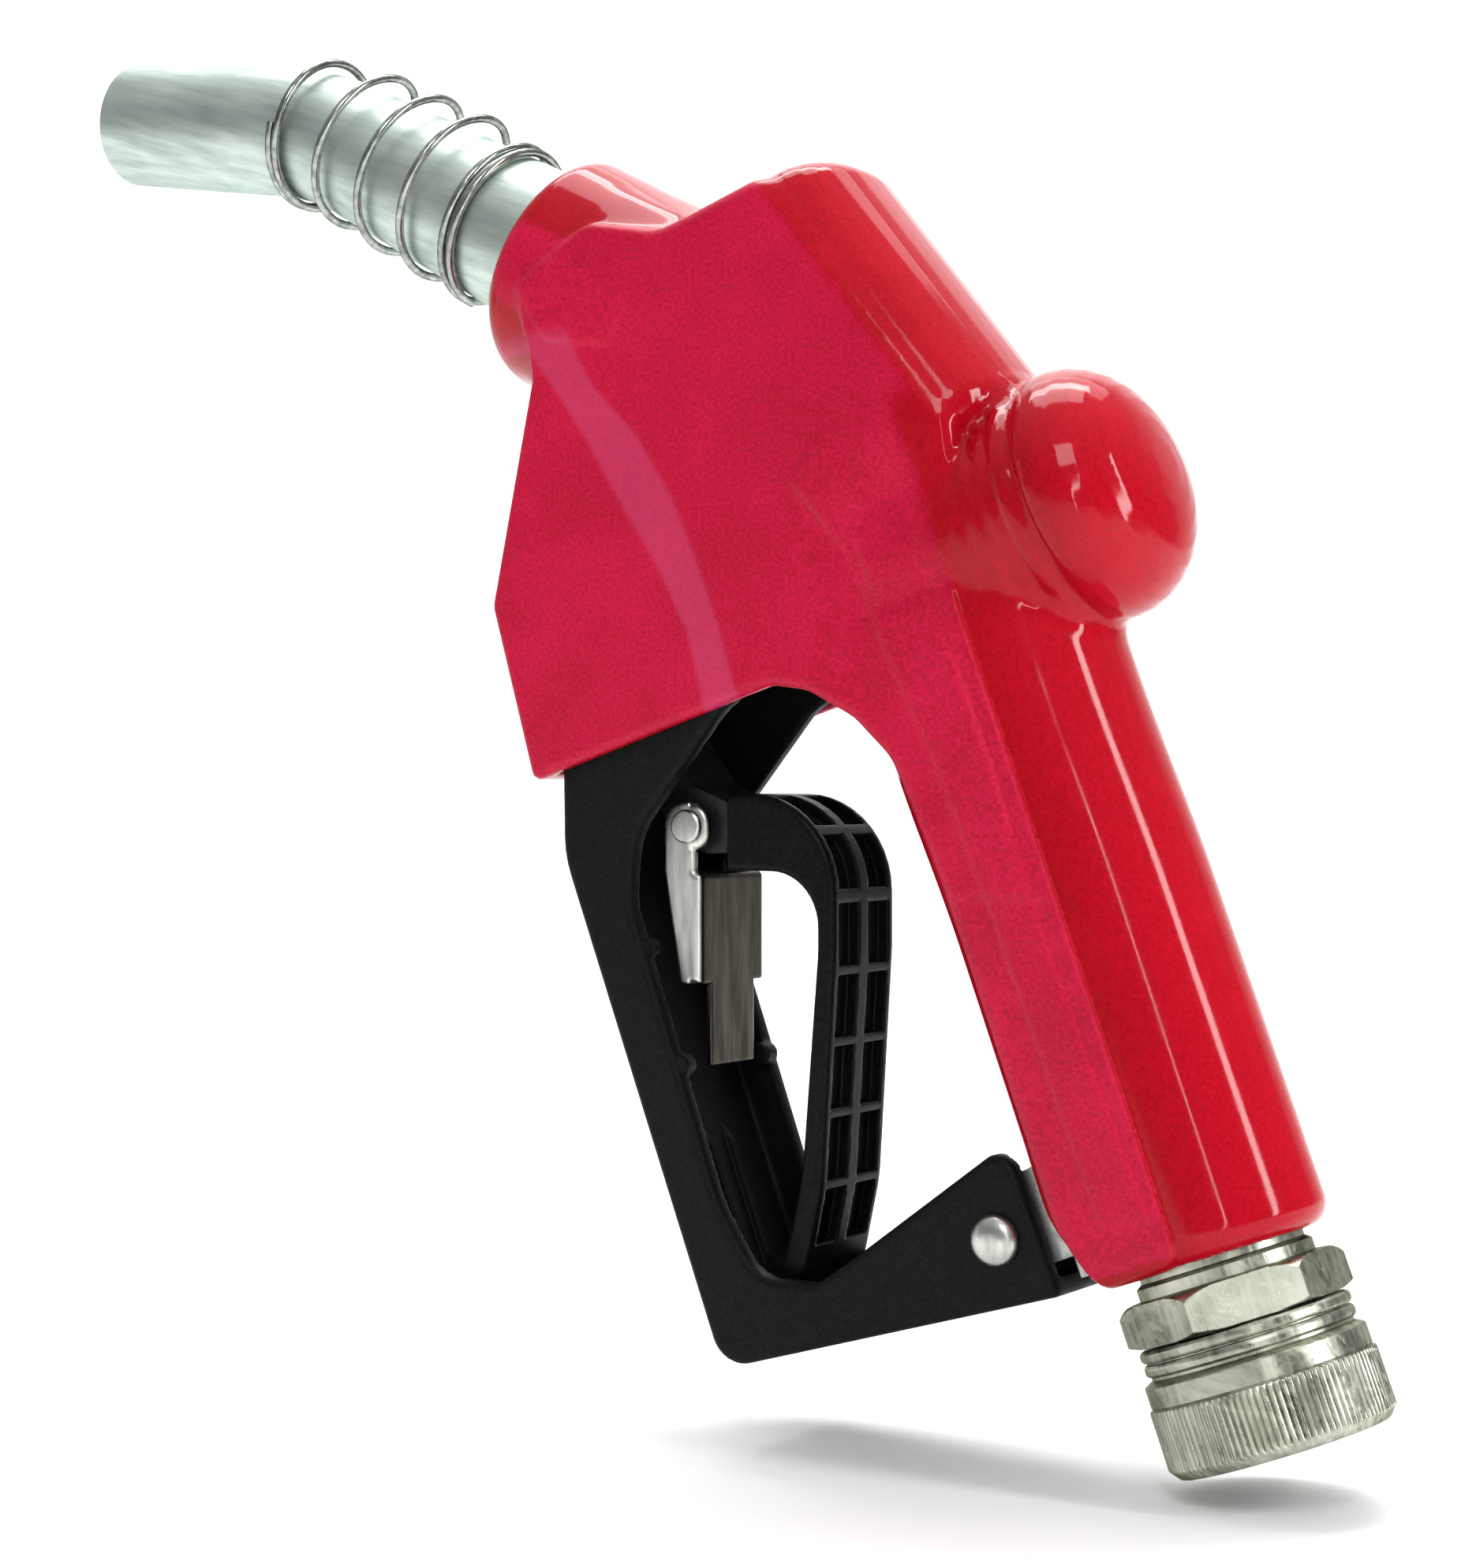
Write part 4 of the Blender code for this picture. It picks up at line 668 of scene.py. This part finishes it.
# --- guard ----------------------------------------------------------------------------------------
CHEEK = rounded([
    (-129.3, 112.0, 2.0), (-129.0, 92.0, 20.0), (-95.7, 4.7, 6.0), (-31.8, 23.1, 1.0),
    (-39.9, 43.4, 3.0), (-43.2, 45.7, 3.0), (-68.5, 26.9, 8.0), (-77.0, 21.0, 6.0),
    (-88.6, 21.0, 8.0), (-96.4, 33.1, 20.0), (-108.4, 66.5, 30.0), (-114.6, 84.0, 12.0),
    (-113.6, 96.0, 12.0), (-95.9, 117.3, 6.0), (-87.5, 123.0, 2.0), (-88.5, 134.5, 2.0),
    (-100.0, 134.5, 2.0)][::-1])
CHANNEL = [(-140.0, 120.0), (-140.0, 114.0), (-126.4, 106.0), (-126.4, 92.8), (-94.2, 8.2),
           (-20.0, 29.4), (-20.0, 60.0), (-60.0, 60.0), (-60.0, 140.0), (-120.0, 140.0)]
FLOOR_RIB = [(-109.4, 46.0), (-99.2, 18.4), (-98.0, 18.4), (-97.7, 21.5), (-105.6, 42.0)]
GUARD_HALF = 16.5
GUARD_INNER = 13.5
PEGS = ((-113.0, 76.0), (-105.5, 56.0))
PEG_RADIUS = 2.0
PEG_MIDDLE = 13.4
RIVET_HOLE = 2.8


def guard_field(points):
    """The guard: a channel open towards the lever, with floor ribs and stop pegs."""
    x, y, z = points.T
    form = thick(polygon(x, z, CHEEK), y, GUARD_HALF, 1.3)
    form = cut(form, thick(polygon(x, z, CHANNEL), y, GUARD_INNER, 1.0))
    ribs = thick(polygon(x, z, FLOOR_RIB), np.abs(y) - 3.2, 0.7, 0.3)
    form = np.minimum(form, np.maximum(ribs, polygon(x, z, CHEEK) + 1.0))
    for peg in PEGS:
        shaped = thick(np.hypot(x - peg[0], z - peg[1]) - PEG_RADIUS, np.abs(y) - PEG_MIDDLE, 1.8,
                       0.6)
        form = merge(form, shaped, 0.8)
    hole = np.hypot(x - RIVET[0], z - RIVET[1]) - RIVET_HOLE
    return np.maximum(form, -hole)


# --- lever ----------------------------------------------------------------------------------------
STRAP = rounded([
    (-98.6, 103.1, 0.5), (-76.8, 103.1, 17.0), (-76.8, 76.0, 20.0), (-79.3, 36.0, 20.0),
    (-83.0, 19.0, 6.0), (-92.0, 17.5, 2.0), (-93.0, 20.5, 1.5),
    (-86.6, 24.5, 4.0), (-83.4, 38.0, 20.0), (-80.3, 76.0, 20.0), (-80.3, 89.8, 9.5),
    (-98.6, 89.8, 0.5)][::-1])
ARM = rounded([
    (-133.4, 140.2, 3.0), (-126.4, 143.2, 4.0), (-119.5, 132.0, 2.0), (-115.5, 115.5, 2.0),
    (-107.5, 104.5, 3.0), (-98.5, 101.0, 1.0), (-88.0, 97.8, 1.0), (-88.0, 93.6, 1.0),
    (-104.0, 92.6, 3.0), (-111.5, 94.5, 4.0), (-121.0, 117.0, 4.0), (-132.9, 132.2, 4.0)][::-1])
LOOP_HALF = 10.5
POCKET_DEPTH = 2.3
POCKETS = [(79.2, 5.3), (67.0, 5.3), (54.8, 5.3), (42.6, 5.3), (31.0, 4.7)]
COLUMN_MIDDLE = 5.0
COLUMN_HALF = 3.4
BEND = (-93.8, 86.1, 17.0)
BEND_POCKETS = ((3.0, 37.0), (44.0, 80.0))
MM_PER_DEGREE = 0.28


def lever_field(points):
    """The lever's moulded grip, pocketed on the face that the fingers pull."""
    x, y, z = points.T
    outline = polygon(x, z, STRAP)
    form = thick(outline, y, LOOP_HALF, 1.1)
    outer = np.interp(z, [19.0, 36.0, 76.0, 95.0], [-82.6, -79.3, -76.8, -76.8])
    floor = outer - POCKET_DEPTH - x
    columns = np.abs(np.abs(y) - COLUMN_MIDDLE) - COLUMN_HALF
    for middle, half in POCKETS:
        pocket = np.maximum(np.abs(z - middle) - half, columns)
        form = np.maximum(form, -np.maximum(pocket, floor))
    turn = np.degrees(np.arctan2(z - BEND[1], x - BEND[0]))
    rind = BEND[2] - POCKET_DEPTH - np.hypot(x - BEND[0], z - BEND[1])
    for low, high in BEND_POCKETS:
        span = (np.abs(turn - (low + high) / 2.0) - (high - low) / 2.0) * MM_PER_DEGREE
        form = np.maximum(form, -np.maximum(np.maximum(span, columns), rind))
    return cut(form, thick(polygon(x, z, ARM) - 0.3, y, 7.8, 0.2))


# --- hold-open clip -------------------------------------------------------------------------------
CLIP_WEB = -103.6
CLIP_HALF = 10.5
TONGUE_HALF = 7.0
TONGUE_MIDDLE = 63.75
TONGUE_REACH = 8.25
SHEET = 1.2
CLIP_PLATE = rounded([
    (CLIP_PIN[0] + 4.2, CLIP_PIN[1] + 4.2, 4.0), (CLIP_PIN[0] - 4.8, CLIP_PIN[1] + 4.2, 4.0),
    (-111.3, 90.1, 3.0), (-107.9, 69.9, 0.8), (CLIP_WEB, 69.9, 0.4), (CLIP_WEB, 88.9, 1.0),
    (-105.0, 89.6, 0.5), (-105.0, 93.2, 0.5), (CLIP_PIN[0] + 4.2, CLIP_PIN[1] - 4.2, 3.0)])
CLIP_HOLLOW = [(-125.0, 60.0), (CLIP_WEB - SHEET, 60.0), (CLIP_WEB - SHEET, 90.4), (-95.0, 90.4),
               (-95.0, 110.0), (-125.0, 110.0)]


def shade_web(piece):
    """Marks the clip's web and tongue, where a dark reflection is painted over the bright plate
    colour.
    """
    places = np.array([vertex.co for vertex in piece.data.vertices]) / MM
    inside = smooth(10.4, 9.8, np.abs(places[:, 1]))
    paint(piece, "web", smooth(-105.2, -104.2, places[:, 0]) * inside)


def clip_field(points):
    """The pressed clip: two eared plates, the web between them and the web's tongue."""
    x, y, z = points.T
    plate = polygon(x, z, CLIP_PLATE)
    form = thick(plate, y, CLIP_HALF, 1.3)
    plates = thick(plate, y, CLIP_HALF, 0.25)
    form = np.where(x > -106.0, form, plates)
    form = cut(form, thick(polygon(x, z, CLIP_HOLLOW), y, CLIP_HALF - SHEET, 0.6))
    strip = np.maximum(np.abs(z - TONGUE_MIDDLE) - TONGUE_REACH, np.abs(y) - TONGUE_HALF)
    tongue = thick(strip, x - CLIP_WEB + SHEET / 2.0, SHEET / 2.0, 0.2)
    form = np.minimum(form, tongue)
    return np.maximum(form, 2.2 - np.hypot(x - CLIP_PIN[0], z - CLIP_PIN[1]))


def make_lever_group():
    """Guard, lever, clip, pins and rivet."""
    keep(skinned("guard", guard_field, *box_of("lever_guard"), 0.6), "body", "black_plastic",
         GUARD_BLACK, "lever_guard")
    keep(skinned("lever_strap", lever_field, *box_of("lever_grip"), 0.4), "lever", "gloss_black",
         LEVER_BLACK, "lever_grip")
    clip = skinned("clip_plate", clip_field, *box_of("hold_open_clip"), 0.3)
    shade_web(clip)
    keep(clip, "clip", "zinc_steel", CLIP_METAL, "hold_open_clip")
    keep(turned_across("clip_rivet", [(0.0001, 11.6), (1.7, 11.6), (1.9, 11.4), (1.9, -10.75),
                                      (2.75, -10.8), (2.95, -11.0), (2.9, -11.3), (2.6, -11.55),
                                      (1.8, -11.6), (0.0001, -11.6)], CLIP_PIN),
         "lever", "zinc_steel", PLATE_METAL, "clip_pin")
    keep(turned_across("rivet", [(0.0001, 18.3), (1.2, 18.25), (2.2, 18.1), (3.2, 17.7),
                                 (4.0, 17.1), (4.2, 16.8), (2.5, 16.75), (2.5, -16.75),
                                 (4.25, -16.8), (4.25, -17.1), (3.9, -17.9), (3.2, -18.5),
                                 (2.2, -18.9), (1.1, -19.08), (0.0001, -19.1)], RIVET),
         "body", "zinc_steel", PLATE_METAL, "guard_rivet")


# --- spout ----------------------------------------------------------------------------------------
def spout_point(distance):
    """x, z and axis angle at a distance from the spout's tip."""
    tangent = SPOUT_BEND_RADIUS * math.tan((SPOUT_ROOT_ANGLE - SPOUT_TIP_ANGLE) / 2.0)
    arc = SPOUT_BEND_RADIUS * (SPOUT_ROOT_ANGLE - SPOUT_TIP_ANGLE)
    bend = (SPOUT_ROOT[0] - SPOUT_IN[0] * SPOUT_ROOT_LINE,
            SPOUT_ROOT[1] - SPOUT_IN[1] * SPOUT_ROOT_LINE)
    tip_in = (math.cos(SPOUT_TIP_ANGLE), -math.sin(SPOUT_TIP_ANGLE))
    start = (bend[0] - tip_in[0] * tangent, bend[1] - tip_in[1] * tangent)
    straight = SPOUT_TIP_LINE - tangent
    if distance <= straight:
        back = distance - straight
        return start[0] + tip_in[0] * back, start[1] + tip_in[1] * back, SPOUT_TIP_ANGLE
    if distance <= straight + arc:
        angle = SPOUT_TIP_ANGLE + (distance - straight) / SPOUT_BEND_RADIUS
        return (start[0] + SPOUT_BEND_RADIUS * (math.sin(angle) - math.sin(SPOUT_TIP_ANGLE)),
                start[1] + SPOUT_BEND_RADIUS * (math.cos(angle) - math.cos(SPOUT_TIP_ANGLE)), angle)
    depth = tangent - SPOUT_ROOT_LINE + distance - straight - arc
    return (SPOUT_ROOT[0] + SPOUT_IN[0] * depth, SPOUT_ROOT[1] + SPOUT_IN[1] * depth,
            SPOUT_ROOT_ANGLE)


def spout_radius(distance):
    """The spout's outer radius at a distance from its tip."""
    return float(np.interp(distance, [0.0, 60.0, 101.5], [12.0, 12.5, 14.1]))


COIL_PLACES = [47.6, 49.4, 61.8, 73.9, 85.8, 96.8, 99.0]
WIRE_RADIUS = 0.78
WIRE_GAP = 1.15
COIL_SAG = 1.1


def make_spout():
    """The bent tube with its rolled tip, and the wire wound on it."""
    outside = [113.0, 112.0] + list(np.linspace(110.0, 1.0, 90)) + [0.5, 0.2]
    stations = [(*spout_point(distance), spout_radius(distance)) for distance in outside]
    rolled = [(0.05, 11.75), (0.0, 11.45), (0.05, 11.0), (0.3, 10.65), (1.2, 10.5)]
    stations += [(*spout_point(distance), radius) for distance, radius in rolled]
    stations += [(*spout_point(distance), min(spout_radius(distance) - 1.5, 11.3))
                 for distance in np.linspace(2.0, 113.0, 60)]
    keep(swept("spout_tube", stations, 128), "body", "aluminium_tube", TUBE_METAL, "spout")

    steps = 48
    route = [(COIL_PLACES[0], -90.0 - 90.0 * step / 12.0) for step in range(12)]
    for index, (here, there) in enumerate(zip(COIL_PLACES[:-1], COIL_PLACES[1:])):
        for step in range(steps):
            share = step / steps
            climb = smooth(0.0, 0.56, np.array(share))
            route.append((here + (there - here) * float(climb), -180.0 - 360.0 * (index + share)))
    curve = bpy.data.curves.new("anchor_wire", "CURVE")
    curve.dimensions = "3D"
    curve.bevel_depth = WIRE_RADIUS * MM
    curve.bevel_resolution = 4
    curve.use_fill_caps = True
    spline = curve.splines.new("POLY")
    spline.points.add(len(route) - 1)
    for (distance, degrees), point in zip(route, spline.points):
        x, z, angle = spout_point(distance)
        turn = math.radians(degrees)
        place = np.array(distance)
        lift = COIL_SAG * float(smooth(40.0, 60.0, place) * smooth(99.0, 88.0, place))
        reach = spout_radius(distance) + WIRE_GAP + lift
        up = reach * math.cos(turn) + 0.9 * lift
        point.co = ((x + math.sin(angle) * up) * MM, reach * math.sin(turn) * MM,
                    (z + math.cos(angle) * up) * MM, 1.0)
    wire = bpy.data.objects.new("anchor_wire", curve)
    bpy.context.scene.collection.objects.link(wire)
    keep(wire, "body", "spring_steel", WIRE_METAL, "anchor_spring")


# --- swivel ---------------------------------------------------------------------------------------
HEX_CORNER = 18.75
KNURLS = 108


def hexagonal(limit):
    """The radius of a hexagon about its axis, no more than limit."""
    def radius(turn):
        folded = (turn + math.pi / 6.0) % (math.pi / 3.0) - math.pi / 6.0
        flat = HEX_CORNER * math.cos(math.pi / 6.0) / np.cos(folded)
        return np.minimum(flat, limit)
    return radius


def knurled(radius, depth):
    """A radius with straight knurling of that depth."""
    def shaped(turn):
        wave = 0.5 + 0.5 * np.cos(KNURLS * turn)
        return radius - depth * (1.0 - np.minimum(wave * 1.6, 1.0))
    return shaped


def make_swivel():
    """The hexagon stud and the knurled collar that turns on it."""
    origin = (0.0, 0.0)
    stud = [(12.2, 46.0), (12.2, 34.4), (14.0, 34.3), (14.4, 34.0), (14.4, 32.7), (14.1, 32.4),
            (13.6, 32.1), (13.6, 30.7), (14.2, 30.3), (14.6, 30.0), (14.6, 28.15), (15.9, 28.0)]
    for step in range(13):
        height = 28.0 - 2.0 * step / 12.0
        stud.append((hexagonal(16.0 + 3.0 * math.sqrt(step / 12.0)), height))
    for step in range(9):
        height = 22.0 - 1.0 * step / 8.0
        stud.append((hexagonal(19.0 - 2.2 * (step / 8.0) ** 1.5), height))
    stud += [(11.3, 21.0), (11.2, 20.8), (11.2, 8.2), (8.0, 8.2), (8.0, 46.0)]
    piece = turned("hexagon_stud", stud, origin, GRIP_UP, 360, 20.0)
    keep(piece, "body", "nickel_brass", NICKEL, "swivel_stud")

    collar = [(11.6, 20.7), (16.6, 20.7), (17.1, 20.5), (17.4, 20.1), (17.45, 19.6), (17.4, 19.1),
              (17.1, 18.75), (16.7, 18.6), (16.7, 18.45), (17.1, 18.3), (17.35, 17.9),
              (17.42, 17.3), (17.35, 16.8), (17.05, 16.5), (16.7, 16.35), (16.7, 15.9),
              (17.0, 15.75), (17.6, 15.4), (18.1, 15.15), (18.25, 14.9), (18.25, 11.75),
              (18.1, 11.55), (18.15, 11.45), (18.5, 11.35)]
    top, bottom = 11.2, 1.5
    collar += [(knurled(18.62, 0.1), top), (knurled(18.7, 0.32), top - 0.35)]
    collar += [(knurled(18.7, 0.36), height) for height in np.linspace(top - 0.8, bottom + 0.7, 8)]
    collar += [(knurled(18.68, 0.3), bottom + 0.2), (knurled(18.5, 0.12), bottom)]
    collar += [(18.35, 1.3), (17.4, 0.15), (17.1, 0.0), (13.8, 0.0), (13.5, 0.3), (13.5, 7.9),
               (12.8, 8.0), (12.8, 11.6), (11.6, 11.7)]
    piece = turned("knurled_collar", collar, origin, GRIP_UP, KNURLS * 8, 28.0)
    keep(piece, "swivel", "nickel_brass", NICKEL, "swivel_collar")


# --- pieces that keep the model's own shape -------------------------------------------------------
SLOT_FINISH = {
    "red_vinyl": VINYL, "black_plastic": GUARD_BLACK, "gloss_black": LEVER_BLACK,
    "cast_aluminium": CAST_METAL, "aluminium_tube": TUBE_METAL, "spring_steel": WIRE_METAL,
    "zinc_steel": PLATE_METAL, "nickel_brass": NICKEL, "brass": BRASS, "rubber": RUBBER}


def finish_nodes():
    """Gives every carried-over node its procedural material."""
    slots = {entry["node"]: entry["material_slot"] for entry in frame["record"]["subparts"]}
    for name, node in frame["nodes"].items():
        material = ARM_BLACK if name == "lever_arm" else SLOT_FINISH[slots[name]]
        node.data.materials.clear()
        node.data.materials.append(material)


# --- stage ----------------------------------------------------------------------------------------
MIDDLE = (-0.1026, 0.0, 0.11)
AIM = (-0.1026, 0.0, 0.1048)
CAMERA = (0.1747, -0.4352, 0.1048)
LENS = 67.0
FLOOR_Z = -0.0085
SWEEP_TURN = math.radians(32.5)
SWEEP_CORNER = 0.6
SWEEP_HALF = 3.0
WALL_MIDDLE = (-0.95, 1.5, 0.7)
LIGHTS = [
    ("key", (0.55, -1.1, 1.15), MIDDLE, (0.5, 0.5), 6.4),
    ("strip", (0.95, 0.0, 0.45), MIDDLE, (0.13, 0.8), 6.5),
    ("front_strip", (0.64, -0.93, 0.3), MIDDLE, (0.035, 0.6), 1.1),
    ("left", (-1.15, -0.45, 0.2), MIDDLE, (0.2, 0.5), 0.25),
    ("top", (-0.2, 0.15, 1.2), MIDDLE, (0.7, 0.4), 4.5),
    ("back", (-0.35, 0.9, 1.7), MIDDLE, (1.6, 0.6), 6.5),
    ("wall", (-0.5, 0.7, 2.0), WALL_MIDDLE, (1.6, 0.6), 30.0)]


def make_world():
    """A plain room: bright overhead and dimmer at eye level."""
    world = bpy.data.worlds.new("studio")
    world.use_nodes = True
    nodes, links = world.node_tree.nodes, world.node_tree.links
    parts = nodes.new("ShaderNodeSeparateXYZ")
    links.new(nodes.new("ShaderNodeTexCoord").outputs["Generated"], parts.inputs[0])
    ramp = nodes.new("ShaderNodeValToRGB")
    height = nodes.new("ShaderNodeMapRange")
    height.inputs["From Min"].default_value = -1.0
    links.new(parts.outputs["Z"], height.inputs["Value"])
    links.new(height.outputs[0], ramp.inputs[0])
    stops = [(0.0, 0.5), (0.42, 0.45), (0.5, 0.28), (0.62, 0.22), (0.75, 0.4), (1.0, 0.9)]
    elements = ramp.color_ramp.elements
    while len(elements) < len(stops):
        elements.new(0.5)
    for element, (position, tone) in zip(elements, stops):
        element.position = position
        element.color = (tone, tone, tone, 1.0)
    background = nodes["Background"]
    links.new(ramp.outputs[0], background.inputs["Color"])
    background.inputs["Strength"].default_value = 0.9
    bpy.context.scene.world = world


def make_stage():
    """Pale floor with a sweep behind it, soft lights and the camera."""
    profile = [(-2.2, FLOOR_Z)]
    for step in range(17):
        turn = math.radians(90.0 * step / 16.0)
        profile.append((1.1 + SWEEP_CORNER * math.sin(turn),
                        FLOOR_Z + SWEEP_CORNER * (1.0 - math.cos(turn))))
    profile.append((1.7, 2.6))
    vertices = [(x, y, z) for y, z in profile for x in (-SWEEP_HALF, SWEEP_HALF)]
    faces = [(2 * n, 2 * n + 1, 2 * n + 3, 2 * n + 2) for n in range(len(profile) - 1)]
    mesh = bpy.data.meshes.new("sweep")
    mesh.from_pydata(vertices, [], faces)
    mesh.shade_smooth()
    sweep = bpy.data.objects.new("sweep", mesh)
    sweep.rotation_euler = (0.0, 0.0, SWEEP_TURN)
    bpy.context.scene.collection.objects.link(sweep)
    paper = Finish("pale_paper", (0.93, 0.93, 0.93), 0.9)
    paper.set("Base Color", paper.colours(paper.noise(3.0), (0.3, (0.92, 0.92, 0.92)),
                                          (0.7, (0.95, 0.95, 0.95))))
    mesh.materials.append(paper.material)

    make_world()
    for name, spot, aim, size, power in LIGHTS:
        light = bpy.data.lights.new(name, "AREA")
        light.shape = "RECTANGLE"
        light.size, light.size_y = size
        light.energy = power
        lamp = bpy.data.objects.new(name, light)
        lamp.location = spot
        lamp.rotation_euler = (Vector(aim) - Vector(spot)).to_track_quat("-Z", "Y").to_euler()
        bpy.context.scene.collection.objects.link(lamp)

    camera = bpy.data.cameras.new("camera")
    camera.lens = LENS
    camera.sensor_width = 36.0
    camera.sensor_fit = "AUTO"
    viewer = bpy.data.objects.new("camera", camera)
    viewer.location = CAMERA
    look = Vector(AIM) - viewer.location
    viewer.rotation_euler = look.to_track_quat("-Z", "Y").to_euler()
    bpy.context.scene.collection.objects.link(viewer)
    bpy.context.scene.camera = viewer
    bpy.context.scene.view_settings.view_transform = "Standard"


make_stage()
finish_nodes()
make_cover()
make_lever_group()
make_spout()
make_swivel()
